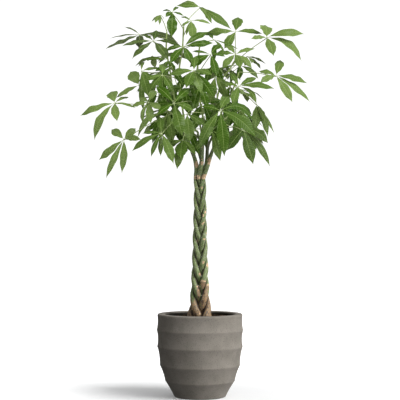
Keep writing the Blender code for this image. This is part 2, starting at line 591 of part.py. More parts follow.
def leaf_surface(hub, faces, leaflets, stations):
    """The middle surface of a whole leaf: a small hub that its leaflets share, and every blade."""
    first = faces.orthogonal().normalized()
    second = faces.cross(first)
    headings = []
    for leaflet in leaflets:
        ahead = (leaflet.tip - leaflet.root).normalized()
        headings.append(math.atan2(ahead.dot(second), ahead.dot(first)))
    order = sorted(range(len(leaflets)), key=lambda index: headings[index])
    points = [hub.copy()]
    count = len(order)
    for place, index in enumerate(order):
        after = headings[order[(place + 1) % count]] + (2 * math.pi if place == count - 1 else 0.0)
        middle = (headings[index] + after) / 2
        points.append(hub + (first * math.cos(middle) + second * math.sin(middle)) * HUB_RING)
    triangles = []
    for place, index in enumerate(order):
        left = 1 + place
        right = 1 + (place - 1) % count
        start = len(points)
        points += leaflet_rows(leaflets[index], stations)
        triangles += [(0, right, left), (left, start + 1, start), (left, right, start + 1)]
        triangles += [(right, start + 2, start + 1), *row_faces(start, len(stations))]
    return points, triangles


Leaflet = namedtuple("Leaflet", "root tip faces width arch sway")


def prism(route, radii, sides=4):
    """A plain tube's points and triangles, to test what it would touch."""
    points, faces = [], []
    for index, place in enumerate(route):
        ahead = (route[min(index + 1, len(route) - 1)] - route[max(index - 1, 0)]).normalized()
        side = ahead.orthogonal().normalized()
        other = ahead.cross(side)
        for corner in range(sides):
            angle = 2 * math.pi * corner / sides
            points.append(place + (side * math.cos(angle) + other * math.sin(angle)) * radii[index])
    for ring in range(len(route) - 1):
        for corner in range(sides):
            a = ring * sides + corner
            b = ring * sides + (corner + 1) % sides
            faces += [(a, b, b + sides), (a, b + sides, a + sides)]
    return points, faces


Placed = namedtuple("Placed", "middle reach tree outer node leaf is_stalk")


class Crowd:
    """What is already in place, to keep each new leaflet clear of it."""

    def __init__(self):
        self.things = []

    def describe(self, surface, outer, node, leaf):
        points, faces = surface
        middle = sum(points, Vector()) / len(points)
        reach = max((point - middle).length for point in points)
        outer_tree = BVHTree.FromPolygons(*outer) if outer else None
        return Placed(middle, reach, BVHTree.FromPolygons(points, faces), outer_tree, node, leaf, False)

    def add_stalk(self, surface, outer, node, leaf):
        """A leaf stalk: its own leaflets keep clear of it only short of the hub."""
        self.things.append(self.describe(surface, outer, node, leaf)._replace(is_stalk=True))

    def add(self, surface, node, leaf=None, outer=None):
        self.things.append(self.describe(surface, outer, node, leaf))

    def touched(self, surface, node, leaf, outer=None):
        """How many things of other nodes or of the same leaf it touches, and of the same node."""
        new = self.describe(surface, outer, node, leaf)
        others = own = 0
        for thing in self.things:
            if (thing.middle - new.middle).length > thing.reach + new.reach:
                continue
            if leaf is not None and thing.leaf == leaf:
                mine = new.tree if thing.is_stalk else new.outer
                if mine.overlap(thing.outer):
                    others += 1
            elif new.tree.overlap(thing.tree):
                if thing.node == node:
                    own += 1
                else:
                    others += 1
        return others, own


def thick(surface, leaflet, depth):
    """The leaflet's surface as two faces, each a depth off the middle one, and the rim between them."""
    points, faces = surface
    upper = leaflet_frame(leaflet.root, leaflet.tip, leaflet.faces)[2]
    above = [point + upper * depth for point in points]
    below = [point - upper * depth for point in points]
    count = len(points)
    edges = {(face[i - 1], face[i]) for face in faces for i in range(3)}
    rim = []
    for a, b in sorted(edges):
        if (b, a) not in edges:
            rim += [(a, b, b + count), (a, b + count, a + count)]
    return above + below, faces + [tuple(i + count for i in face) for face in faces] + rim


def thick_leaflet(leaflet, depth):
    """A leaflet's two faces, whole and without its root, to test what it would touch."""
    whole = thick(leaflet_surface(leaflet, BLADE_STATIONS), leaflet, depth)
    return whole, thick(leaflet_surface(leaflet, BLADE_STATIONS, rooted=False), leaflet, depth)


def swings():
    """Pairs of angles to swing a leaflet by, smallest first."""
    steps = range(-SWING_MOST, SWING_MOST + 1)
    pairs = [(lift, turn) for lift in steps for turn in steps]
    return sorted(pairs, key=lambda pair: (pair[0] ** 2 + pair[1] ** 2, pair))


def swung(leaflet, lift, turn, shorten):
    ahead, across, upper = leaflet_frame(leaflet.root, leaflet.tip, leaflet.faces)
    bend = Matrix.Rotation(lift * SWING_STEP, 3, across) @ Matrix.Rotation(turn * SWING_STEP, 3, upper)
    tip = leaflet.root + bend @ (leaflet.tip - leaflet.root) * shorten
    return leaflet._replace(tip=tip, width=leaflet.width * shorten)


def settle(leaflet, crowd, node, leaf):
    """The leaflet, swung as little as will keep it clear of what is already in place."""
    best = None
    for shorten in (1.0, 0.8, 0.62):
        for lift, turn in swings():
            tried = swung(leaflet, lift, turn, shorten)
            surface, outer = thick_leaflet(tried, CLEARANCE)
            others, own = crowd.touched(surface, node, leaf, outer)
            if not others and not own:
                return tried
            if not others and best is None:
                best = tried
        if best is not None:
            return best
    return None


def fan_tips(leaf):
    """Hub and leaflet tips of a leaf that hangs by the rule for the sides and the back."""
    hub = seen(leaf.hub)
    heading = math.radians(leaf.heading)
    tips = []
    for index in range(leaf.leaflets):
        offset = index - (leaf.leaflets - 1) / 2
        angle = heading + offset * FAN_SPREAD
        reach = leaf.reach * CM * (1 - (1 - FAN_SIDE_SHARE) * min(1.0, abs(offset) / 2))
        out = Vector((math.sin(angle), math.cos(angle), 0.0))
        tips.append(hub + (out - UP * FAN_DROOP * (1 + 0.35 * (index % 2))).normalized() * reach)
    faces = Vector((math.sin(heading) * 0.5, math.cos(heading) * 0.5, 1.0))
    return hub, faces.normalized(), tips


def leaf_plan(leaf):
    if isinstance(leaf, SideLeaf):
        return fan_tips(leaf)
    return seen(leaf.hub), Vector(leaf.faces).normalized(), [seen(tip[:3]) for tip in leaf.tips]


def leaflet_width(leaf, index, length, chance):
    """The width given with a leaflet's tip, or else one that grows with its length."""
    tip = leaf.tips[index] if isinstance(leaf, Leaf) else ()
    if len(tip) > 3:
        return tip[3] * CM
    return (BLADE_WIDTH_LEAST + length * BLADE_WIDTH_SHARE) * chance.uniform(0.94, 1.06)


def leaflet_sway(leaf, index):
    """How far a leaflet bows to its right, as a share of its length, where one is given with its tip."""
    tip = leaf.tips[index] if isinstance(leaf, Leaf) else ()
    return tip[4] if len(tip) > 4 else 0.0


def petiole_route(start, hub, faces, bow):
    """A leaf stalk from just under the hub to inside its shoot, bowed by a share of its length."""
    below = hub - faces * HUB_DEPTH
    length = (start - below).length
    ahead = (start - below).normalized()
    side = (UP - ahead * UP.dot(ahead)).normalized()
    middle = start.lerp(below, 0.5) + side * (bow * length)
    return [below, middle, start]


def stalk_surfaces(stalk):
    """The stalk, a little fatter than it is, with its hub and short of it, to test what it would touch."""
    below, middle, start = stalk
    ahead = (middle - below).normalized()
    fat = PETIOLE_RADIUS + CLEARANCE
    hub = HUB_RING + CLEARANCE
    whole = prism([below - ahead * HUB_DEPTH * 1.5, below, middle, start], [hub, hub, fat, fat])
    return whole, prism([below + ahead * HUB_CLEAR, middle, start], [fat, fat, fat])


def woody_crowd(routes):
    """A crowd that holds the tops of the woody stems and every green shoot."""
    crowd = Crowd()
    for name, stem in STEMS.items():
        route = [place for place in stem_route(stem) if place.z > FOLIAGE_FOOT]
        crowd.add(prism(route, [STEM_END_RADIUS + CLEARANCE] * len(route), 8), name)
        fork = fork_route(stem, stem_route(stem))
        crowd.add(prism(fork, [FORK_RADIUS + CLEARANCE] * len(fork), 8), name)
    for name, route in routes.items():
        crowd.add(prism(route, [SHOOT_RADIUS + CLEARANCE] * len(route), 6), name)
    return crowd


def plan_stalks(routes, crowd):
    """A stalk for each leaf, bowed as little as keeps it clear of the other shoots and their stalks."""
    stalks = []
    for number, leaf in enumerate((*LEAVES, *SIDE_LEAVES)):
        hub, faces, tips = leaf_plan(leaf)
        start = point_along(routes[leaf.shoot], leaf.share)
        for bow in BOW_SHARES:
            stalk = petiole_route(start, hub, faces, bow)
            surface, outer = stalk_surfaces(stalk)
            if crowd.touched(surface, leaf.shoot, None)[0] == 0:
                break
        crowd.add_stalk(surface, outer, leaf.shoot, number)
        stalks.append(stalk)
    return stalks


def plan_foliage():
    """Every shoot's route, and every leaf's stalk and leaflets, all clear of each other."""
    routes = {name: shoot_route(shoot) for name, shoot in SHOOTS.items()}
    crowd = woody_crowd(routes)
    stalks = plan_stalks(routes, crowd)
    planned = []
    for number, leaf in enumerate((*LEAVES, *SIDE_LEAVES)):
        chance = random.Random(number)
        hub, faces, tips = leaf_plan(leaf)
        leaflets = []
        for index, tip in enumerate(tips):
            width = leaflet_width(leaf, index, (tip - hub).length, chance)
            arch = BLADE_ARCH * chance.uniform(0.7, 1.3)
            leaflet = Leaflet(hub, tip, faces, width, arch, leaflet_sway(leaf, index))
            placed = settle(leaflet, crowd, leaf.shoot, number)
            if placed:
                surface, outer = thick_leaflet(placed, BLADE_THICKNESS / 2)
                crowd.add(surface, leaf.shoot, number, outer)
                leaflets.append(placed)
        planned.append((leaf.shoot, hub, faces, leaflets, stalks[number]))
    return routes, planned


def make_leaf(name, hub, faces, leaflets, stalk, collection):
    """A leaf's blades, thickened, with its stalk drawn out of the under side of the hub."""
    points, triangles = leaf_surface(hub, faces, leaflets, BLADE_STATIONS)
    blade = mesh_object(name, points, triangles, collection)
    solid = blade.modifiers.new("Thickness", "SOLIDIFY")
    solid.thickness = BLADE_THICKNESS
    solid.offset = 0.0
    bpy.context.view_layer.update()
    mesh = bpy.data.meshes.new_from_object(blade.evaluated_get(bpy.context.evaluated_depsgraph_get()))
    blade.modifiers.clear()
    blade.data = mesh
    form = bmesh.new()
    form.from_mesh(mesh)
    form.verts.ensure_lookup_table()
    centre = min((form.verts[0], form.verts[len(points)]), key=lambda vert: vert.co.dot(faces))
    draw_stalk(form, centre, faces, stalk)
    form.normal_update()
    form.to_mesh(mesh)
    form.free()


def draw_stalk(form, centre, faces, stalk):
    """Extrudes the faces round the hub's middle along the stalk's route, turning with it."""
    below, middle, start = stalk
    rings = (
        (below, (middle - below).normalized() - faces, PETIOLE_RADIUS * 1.35),
        (middle, start - below, PETIOLE_RADIUS),
        (start, start - middle, PETIOLE_BASE_RADIUS),
    )
    axis = -faces
    for place, ahead, radius in rings:
        hub_faces = list(centre.link_faces)
        made = bmesh.ops.extrude_face_region(form, geom=hub_faces)["geom"]
        bmesh.ops.delete(form, geom=hub_faces, context="FACES_ONLY")
        before = centre.co.copy()
        if not centre.link_faces:
            form.verts.remove(centre)
        verts = [item for item in made if isinstance(item, bmesh.types.BMVert)]
        centre = min(verts, key=lambda vert: (vert.co - before).length)
        turn = axis.rotation_difference(ahead.normalized())
        for vert in verts:
            offset = turn @ (vert.co - before)
            vert.co = place if vert == centre else place + offset.normalized() * radius
        axis = ahead.normalized()


def make_shoots(collection, material):
    routes, planned = plan_foliage()
    for name, route in routes.items():
        count = len(route) - 1
        radii = [SHOOT_RADIUS + (SHOOT_TIP_RADIUS - SHOOT_RADIUS) * i / count for i in range(count + 1)]
        thing = tube(name, route, radii, 1, collection, material)
        helpers = new_collection(name + "_leaves", hidden=True)
        for number, (shoot, hub, faces, leaflets, stalk) in enumerate(planned):
            if shoot == name:
                make_leaf(f"{name}_leaf_{number}", hub, faces, leaflets, stalk, helpers)
        fuse(thing, helpers, "MANIFOLD")


def main():
    clear_scene()
    plant = new_collection("money_tree")
    make_pot(plant, make_material("pot", POT_GREY, 0.75))
    make_soil(plant, make_material("soil", SOIL_BROWN, 1.0))
    bark = make_material("bark", BARK_GREEN, 0.7)
    for name, stem in STEMS.items():
        make_stem(name, stem, plant, bark)
    make_shoots(plant, make_material("leaf", LEAF_GREEN, 0.45))


main()
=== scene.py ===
"""The dressed look of the potted money tree: fine leaves, bark, soil and cast pot, on a pale floor.

Metres, +Z up. The tables and the placing rules repeat the solid model's, so every fine piece lies where its
solid does.
"""

import math
import random
from collections import namedtuple

import bmesh
import bpy
import numpy as np
from mathutils import Matrix, Vector, noise
from mathutils.bvhtree import BVHTree


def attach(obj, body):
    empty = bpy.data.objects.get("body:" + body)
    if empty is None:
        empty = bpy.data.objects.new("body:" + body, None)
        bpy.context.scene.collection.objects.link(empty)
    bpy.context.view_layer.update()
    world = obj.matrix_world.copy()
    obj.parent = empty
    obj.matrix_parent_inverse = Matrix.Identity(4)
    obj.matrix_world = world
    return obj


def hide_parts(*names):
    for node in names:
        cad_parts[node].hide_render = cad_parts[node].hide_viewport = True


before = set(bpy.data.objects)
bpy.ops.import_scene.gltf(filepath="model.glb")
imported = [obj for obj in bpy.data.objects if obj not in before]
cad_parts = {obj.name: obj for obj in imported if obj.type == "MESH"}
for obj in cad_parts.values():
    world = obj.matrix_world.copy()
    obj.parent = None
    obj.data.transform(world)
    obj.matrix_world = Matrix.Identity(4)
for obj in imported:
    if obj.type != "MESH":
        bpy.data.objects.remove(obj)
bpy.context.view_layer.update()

CM = 0.01
GAP = 0.0003
UP = Vector((0.0, 0.0, 1.0))

# Pot: its height, its rounded lip, and its inside as (radius, height)
POT_HEIGHT = 0.370
POT_LIP_ROUND = 0.006
POT_LIP_INNER = 0.159
POT_LIP_OUTER = 0.191
POT_INNER = ((0.0, 0.030), (0.100, 0.030), (0.148, 0.140), (0.159, 0.240))

# Soil
SOIL_EDGE = 0.348
SOIL_MIDDLE = 0.353

# Braid: five strands, 72 degrees apart on one closed path, which rises one turn in each pitch
STRANDS = 5
BRAID_PITCH = 0.435
BRAID_START_ANGLE = math.radians(90)
BRAID_START = 0.778
BRAID_TOP = 0.980
BRAID_EDGE = 0.05
BRAID_DEPTH = 1.00
BRAID_WIDTH_SHARE = 2.92
TRUNK_WIDTHS = (
    (0.250, 0.118), (0.358, 0.116), (0.400, 0.100), (0.430, 0.092), (0.475, 0.086),
    (0.565, 0.077), (0.655, 0.070), (0.745, 0.065), (0.880, 0.058), (1.100, 0.056),
)
STEM_FOOT = 0.265
STEM_STEP = 0.033
STEM_TOP_STEP = 0.046
STEM_END_RADIUS = 0.0070
FORK_RADIUS = 0.0054

# The eye that the front view is seen from: places below are as seen at the trunk's plane
EYE_HEIGHT = 0.75
EYE_DISTANCE = 5.0

# Stems: the strand of the braid that each one is, and above the braid its own points and then its fork's,
# in cm as (across, up, behind)
Stem = namedtuple("Stem", "strand route fork")
STEMS = {
    "stem_1": Stem(4, ((-1.8, 104.5, -0.5), (-6, 117.5, -1.5)), ((-4.6, 112, 2.6), (-7.2, 119, 6))),
    "stem_2": Stem(3, ((0.7, 105, -3), (1.5, 118.5, -4.5)), ((0.4, 112.5, -7.2), (-1, 118, -10.5))),
    "stem_3": Stem(1, ((3.6, 104.5, -1.5), (7, 114.5, -1.5)), ((5.6, 110.5, -5), (7.4, 116.5, -9))),
    "stem_4": Stem(2, ((3, 105, 2.6), (3.4, 118.5, 4.5)), ((3.8, 112.5, 7.2), (6.2, 118, 10.5))),
    "stem_5": Stem(0, ((0.7, 105, 3.8), (0.6, 118, 7)), ((-1.6, 112.5, 8.6), (-5, 118, 12.5))),
}
FORK_START = 1.035

# Green shoots, whose nodes add shoot_ to these names: each starts just above the named end of a stem and
# follows its points, in cm as above
Shoot = namedtuple("Shoot", "stem end route")
SHOOTS = {
    "tall": Shoot("stem_1", 0, ((-8.9, 137.5, -3), (-9.3, 148, -4), (-8, 156, -5), (-7.4, 167, -4))),
    "tall_left": Shoot("stem_1", 1, ((-12, 136, 4), (-13.6, 147, 3), (-15.2, 156, 2), (-15, 164.5, 1))),
    "low_left": Shoot("stem_2", 1, ((-6.5, 122, -13), (-12.5, 127, -14), (-18, 130, -13))),
    "front": Shoot("stem_2", 0, ((1, 128, -8), (-1, 137, -13), (-2, 144, -15))),
    "right": Shoot("stem_3", 0, ((9.5, 127, -3), (14, 136, -4), (16.2, 141.5, -5), (17.6, 146, -5))),
    "low_right": Shoot("stem_3", 1, ((9.5, 121.5, -13.5), (12.5, 126, -18))),
    "high_right": Shoot("stem_4", 0, ((7.5, 133, 5), (10, 143, 4), (13.5, 147.5, 4), (16.2, 152, 4))),
    "back_right": Shoot("stem_4", 1, ((10.5, 126, 14.5), (12.5, 135, 18), (14, 141, 20))),
    "back_left": Shoot("stem_5", 1, ((-9.5, 126, 17), (-12.5, 137, 20), (-14, 143, 21))),
    "back": Shoot("stem_5", 0, ((-2, 134, 10), (-1, 150, 11), (0, 159, 10))),
}
SHOOT_STEP = 0.045
SHOOT_RISE = 0.012
SHOOT_RADIUS = 0.0048
SHOOT_TIP_RADIUS = 0.0034

# Leaves
BLADE_THICKNESS = 0.0009
BLADE_WIDTH_LEAST = 0.016
BLADE_WIDTH_SHARE = 0.16
BLADE_ARCH = 0.10
BLADE_FOLD = 0.20
BLADE_STATIONS = (0.30, 0.67)
BLADE_WIDEST = 1.25
BLADE_BLUNT = 0.85
WIDTH_SPREAD = (0.94, 1.06)
ARCH_SPREAD = (0.7, 1.3)
FACING_LEAST = 0.2
FACING_LEAN = Vector((0.0, -0.3, 0.0))
PETIOLE_RADIUS = 0.0017
HUB_DEPTH = 0.0040
HUB_RING = 0.0034
HUB_CLEAR = 0.018
HUB_TESTED = 1.5
CLEARANCE = 0.0008
FOLIAGE_FOOT = 0.93
SWING_STEP = math.radians(6)
SWING_MOST = 7
SHORTENINGS = (1.0, 0.8, 0.62)
BOW_SHARES = (0.03, 0.0, 0.06, -0.03, 0.09, 0.12, -0.06, 0.15)

# The ways that most inner leaves face
AHEAD = (0.0, -0.85, 0.5)
LEFTWARDS = (-0.1, -0.85, 0.5)
RIGHTWARDS = (0.1, -0.85, 0.5)

# Leaves seen in the front view. A row gives the shoot, the share of the shoot's length where the leaf stalk
# leaves it, the hub where the leaflets meet, the way the leaf faces, and the tip of each leaflet.
# Places are in cm as (across, up, behind), as seen from the front. A tip may be followed by its leaflet's
# width in cm, and by how far the leaflet bows to its right, as a share of its length.
Leaf = namedtuple("Leaf", "shoot share hub faces tips")
LEAVES = [Leaf(*row) for row in (
    ("low_left", 0.95, (-38.5, 132, -7), (-0.2, -0.75, 0.6), (
        (-54.3, 126, -4, 4.2, -0.05), (-47.7, 115, -10, 3.9, 0.07), (-37.4, 123.5, -17),
        (-40.1, 137.2, 2, 5.4), (-31.8, 134.6, 0, 2.4), (-28.4, 129.6, -8, 1.4))),
    ("low_left", 0.72, (-34.4, 115.5, -16), (-0.1, -0.8, 0.55), (
        (-45.7, 106, -14, 3.7, -0.03), (-42.5, 97.7, -19, 2.9, -0.04), (-35.3, 100, -22, 3.3, -0.05),
        (-40, 120, -9, 3.9), (-27.8, 118.6, -13, 3.7, 0.04), (-26.5, 115.3, -23, 3))),
    ("tall_left", 0.8, (-21, 160, -3), (0, -0.6, 0.8), (
        (-35.6, 157.6, -3, 3.4, -0.1), (-31, 151.7, -8, 4, -0.05), (-14.2, 151.2, -12, 4.6),
        (-19.5, 165, 4, 3), (-27, 163.2, 1, 2.6), (-8.2, 157.4, -6, 3.4))),
    ("tall_left", 0.93, (-27.2, 163, 8), (0, -0.55, 0.8), (
        (-35, 166.6, 14, 1.8), (-40.8, 161.2, 9, 2, -0.1), (-43.1, 156.4, 3, 4, -0.12),
        (-27.6, 156.4, -2, 4), (-10.2, 158.2, 5, 5.2, -0.03))),
    ("tall_left", 1, (-18, 172, 0), (0, -0.8, 0.6), (
        (-22, 168.8, 2, 1.5), (-20.5, 168.2, -4, 1.5), (-18.4, 167.8, -4, 1.3), (-16.2, 169.8, 3, 1.3))),
    ("tall", 0.97, (-12.6, 173.2, -6), (0.1, -0.8, 0.5), (
        (-17.2, 173.6, 0, 1.3), (-15.7, 170.9, -12, 2.4), (-13, 161.5, -11, 4.8), (-9.7, 175.4, 0, 1.8),
        (-7.2, 171.4, -9, 1.3))),
    ("tall", 1, (0, 175.5, 2), AHEAD, (
        (-10.8, 176.1, 2, 3.6, -0.03), (-8.6, 177.2, 9, 2.4), (2.9, 172, -6, 2.2),
        (5.4, 167.9, -2, 2.4, -0.03), (14.2, 165.4, 1, 4.6, 0))),
    ("high_right", 1, (16, 164.3, 6), (0.1, -0.75, 0.6), (
        (17.3, 171, 14, 5.2), (1.7, 162.7, 5, 4.2, 0.03), (28.4, 163.2, 7, 3.4, 0.02), (11, 156.5, 1, 4))),
    ("high_right", 0.9, (30.2, 161.7, -2), (0.1, -0.75, 0.6), (
        (29.5, 167.4, 7, 6), (47.3, 163.2, -1, 4.6, 0.02), (46, 150.8, -4, 5, -0.16),
        (33.3, 153.2, -9, 4.8), (23, 161, -7))),
    ("right", 1, (34.3, 144.3, -8), (0.15, -0.75, 0.6), (
        (36.4, 151.5, 1, 4.2), (48.6, 140.9, -7, 4.2, 0), (49.8, 132.4, -9, 4, 0), (41.8, 132.2, -13),
        (26, 145.8, -5, 3.4), (27, 140.8, -15, 3.6))),
    ("high_right", 0.97, (16, 154, -8), (0, -0.7, 0.7), (
        (11.8, 158, 0), (25, 156.6, -4), (6, 153.6, -7), (10, 147.5, -14), (18.4, 147.3, -17),
        (23.6, 147.6, -11))),
    ("front", 0.95, (4.8, 154, -17), (0, -0.75, 0.65), (
        (9.4, 158.6, -10), (11.6, 153, -17, 2.4), (7.6, 143.5, -23), (-4.8, 148, -20, 4.6),
        (-3.8, 155.4, -14, 1.5))),
    ("tall", 0.62, (-7.4, 157.5, -13), (0.1, -0.8, 0.6), (
        (4.2, 164.3, -9), (6.2, 159.2, -14, 4, 0.06), (-13.8, 149.7, -20), (-3.5, 149, -22),
        (-15.6, 155.7, -10))),
    ("tall", 0.9, (-4, 169.3, -6), (0, -0.7, 0.7), (
        (-9, 171, 0, 1.4), (5, 167.7, -8, 1.8), (-3, 160.2, -11, 3.8), (-6.4, 162.4, -9, 1.5),
        (-8.6, 166.6, -9, 1.8))),
    ("right", 0.62, (17.5, 139.5, -15), (0.1, -0.8, 0.6), (
        (25.7, 143.4, -10), (34, 138.2, -15, 4.4), (9.2, 141, -13), (25.6, 131.6, -18, 2.2, -0.14),
        (14.5, 130.5, -22), (13.2, 146.2, -11, 3))),
    ("high_right", 0.62, (18, 149, 9), (0, -0.7, 0.7), (
        (6, 144, 9, 1.4), (18, 142.4, 2), (26.5, 142.8, 9))),
    ("right", 0.8, (25.6, 131.4, 1), (0.3, -0.75, 0.5), (
        (29.6, 122.8, -5, 2.8), (33.6, 118, 1, 1.6, 0.04), (30.6, 116.6, -2, 3.6), (25, 120.2, -8, 4.4),
        (17.6, 136.4, -2, 1.7, 0.1))),
    ("low_right", 0.8, (9, 128.6, -28), AHEAD, (
        (14.2, 134.6, -19, 4.4), (24.6, 122.9, -23, 4.4, -0.24), (25.4, 116.4, -30, 5.6, -0.03),
        (11, 107.6, -32, 5.2), (-0.5, 111.8, -30, 4.6), (0.5, 130.5, -27))),
    ("low_right", 0.6, (19.5, 120, -19), (0.15, -0.85, 0.5), (
        (30.8, 113.6, -22, 4.6, -0.14), (24, 104, -21, 5.4, 0.02), (31.6, 103.2, -17, 3.6, -0.02),
        (11.8, 110.2, -22, 4.2))),
    ("front", 0.55, (-11.8, 131.8, -33), AHEAD, (
        (-20.2, 139.6, -29), (-3.9, 138.8, -27), (-2.6, 128.2, -36), (-7.9, 116.6, -36, 5),
        (-19.8, 126.4, -36))),
    ("tall", 0.5, (-17, 144.7, -22), (0, -0.8, 0.6), (
        (-25, 142.3, -22, 3, -0.08), (-23.1, 137.5, -24), (-16.8, 134.1, -26), (-12, 136.4, -26),
        (-16.3, 149.8, -13))),
    ("front", 1, (-2.8, 146.6, -26), (0, -0.8, 0.6), (
        (-14.4, 144.7, -24, 4.2), (-6.4, 138.6, -32, 4.2), (0.6, 136.2, -31, 4.2), (6.4, 134.3, -27),
        (5.6, 144.6, -31), (-1.8, 151.6, -18))),
    ("tall_left", 0.55, (-26.5, 146.5, -8), (-0.1, -0.75, 0.6), (
        (-25.5, 150.5, 1, 1.9), (-17.6, 147.7, -7, 2.4), (-23.2, 134.6, -11, 4.2), (-25.8, 128.2, -8, 2.6),
        (-22.4, 142.8, -9, 2.6))),
    ("tall_left", 0.62, (-27.5, 140, -2), (-0.1, -0.8, 0.55), (
        (-31.6, 146.2, 2, 5.8), (-38, 134.2, -2, 3.2, -0.06), (-24.4, 136.2, -3, 2.4))),
    ("low_left", 1, (-23.2, 132.3, -20), (0, -0.8, 0.6), (
        (-20.2, 137.6, -12), (-25.8, 122.4, -20, 2, 0.13), (-17.6, 128.6, -27), (-22.2, 122.6, -26),
        (-27.6, 134.3, -16), (-31.4, 129.9, -18, 3))),
    ("low_left", 0.55, (-17.4, 118.3, -26), (-0.05, -0.8, 0.55), (
        (-26.3, 118.1, -25, 1.9), (-30.9, 109.9, -26, 3.2), (-22.2, 107.3, -29, 2.2),
        (-17.8, 107.8, -27, 2.2), (-11.9, 104.3, -28, 4.2), (-18.3, 126, -20))),
    ("front", 0.35, (-6, 127, -24), RIGHTWARDS, (
        (-4.6, 114, -28, 5), (-14, 122, -26), (2.5, 121.5, -26), (-0.5, 133, -17))),
    ("low_left", 0.3, (-7.8, 115.3, -21), AHEAD, (
        (-8.8, 106.6, -27, 5.4), (-10.4, 101.8, -23), (-1.8, 108.6, -24), (-16, 111.6, -21))),
    ("low_right", 0.95, (5.3, 119.6, -21), AHEAD, (
        (9.2, 105.5, -22), (-2.6, 110, -22), (14.5, 112.5, -20), (12.5, 125, -15))),
    ("front", 0.85, (0, 140, -21), AHEAD, (
        (-3.2, 129.5, -24), (3.4, 129.5, -25), (8.5, 138, -20), (-8.5, 141, -18))),
    ("right", 0.35, (11.6, 134, -11), RIGHTWARDS, (
        (17, 125, -7), (10.4, 120, -13), (4.6, 125, -12))),
    ("front", 0.15, (2, 126, -14), AHEAD, (
        (2.5, 111.5, -17), (-6.3, 117.6, -16), (8, 114, -15))),
    ("low_left", 0.15, (-14.5, 128, -7), (-0.05, -0.85, 0.5), (
        (-18.5, 115.5, -9), (-12, 114, -10), (-28.3, 115.9, -8, 2.8, 0.15))),
    ("tall", 0.38, (-7, 138, -15), AHEAD, (
        (-12, 127.5, -17), (-4.4, 125.5, -18), (-14.5, 139, -14))),
    ("high_right", 0.45, (6.8, 144, -9), AHEAD, (
        (12.5, 133.5, -11), (4.5, 131.5, -12), (13.2, 139.2, -9))),
    ("low_right", 0.35, (18, 129, -12), RIGHTWARDS, (
        (15.5, 114.5, -14), (23.5, 117, -13), (10, 122, -12))),
    ("tall_left", 0.3, (-19, 137, 2), LEFTWARDS, (
        (-15, 126, 0), (-24, 127.5, 0), (-25, 136.5, 2))),
    ("back", 0.3, (1.5, 132, 3), AHEAD, (
        (-5, 120.5, 1), (6.5, 119.5, 1), (10, 133, 4), (-8.5, 134, 4))),
    ("high_right", 0.25, (17, 131.5, 5), RIGHTWARDS, (
        (20, 119.5, 4), (12.5, 120.5, 3), (23.5, 126.5, 6))),
    ("tall_left", 0.15, (-17, 125.5, 5), LEFTWARDS, (
        (-21.5, 113.5, 3), (-12.5, 113, 3), (-23.2, 119.4, 6))),
    ("tall", 0.22, (-13, 148.5, -9), AHEAD, (
        (-19.5, 139, -11), (-7.5, 139.5, -10), (-20.5, 146.4, -9))),
    ("right", 0.18, (20.5, 121, -3), (0.15, -0.85, 0.5), (
        (25.5, 110.5, -5), (14.5, 112.5, -5), (27, 119.5, -4))),
    ("front", 0.06, (-5, 120, -11), (-0.05, -0.85, 0.5), (
        (-8.5, 108.5, -12), (0, 108, -12.5), (-12.5, 118.5, -10))),
    ("high_right", 0.75, (6.5, 150, 0), AHEAD, (
        (2.5, 140.5, -2), (10.2, 140.2, -1), (6, 158.2, 4, 2.4))),
    ("back", 0.42, (-4.5, 146, 4), AHEAD, (
        (-11, 136, 3), (-2, 133.5, 2), (3.5, 145, 5))),
    ("back_left", 0.5, (-11, 140, 12), LEFTWARDS, (
        (-19, 132, 10), (-12, 127.5, 10), (-3.5, 131.5, 11))),
    ("back_right", 0.55, (13.5, 140, 13), RIGHTWARDS, (
        (16.6, 129.6, 11), (9.5, 128.5, 11), (15.2, 147, 15, 2.2))),
    ("back_left", 0.25, (-11, 126, 11), LEFTWARDS, (
        (-17.5, 116.5, 9), (-8.5, 113.5, 9), (-20, 127, 12))),
    ("back_right", 0.25, (9.5, 126, 12), RIGHTWARDS, (
        (12.6, 114.8, 10), (4.5, 114.5, 10), (18.5, 124.5, 13))),
    ("tall", 0.1, (-11.5, 131, -6), (-0.05, -0.85, 0.5), (
        (-16, 120, -6), (-7.5, 119.5, -7), (-20, 131.5, -5))),
    ("tall_left", 0.45, (-14.2, 151.4, -4), AHEAD, (
        (-26.6, 151.4, -3, 1.8), (-17.5, 146, -7, 2.6), (-11.4, 145.5, -6, 2.6))),
    ("tall", 0.8, (6, 160.8, 0), (0, -0.7, 0.7), (
        (17.6, 156.2, 1, 1.4, 0.06), (11.2, 154.8, -4, 1.6), (4.4, 164, 5, 2.4))),
)]

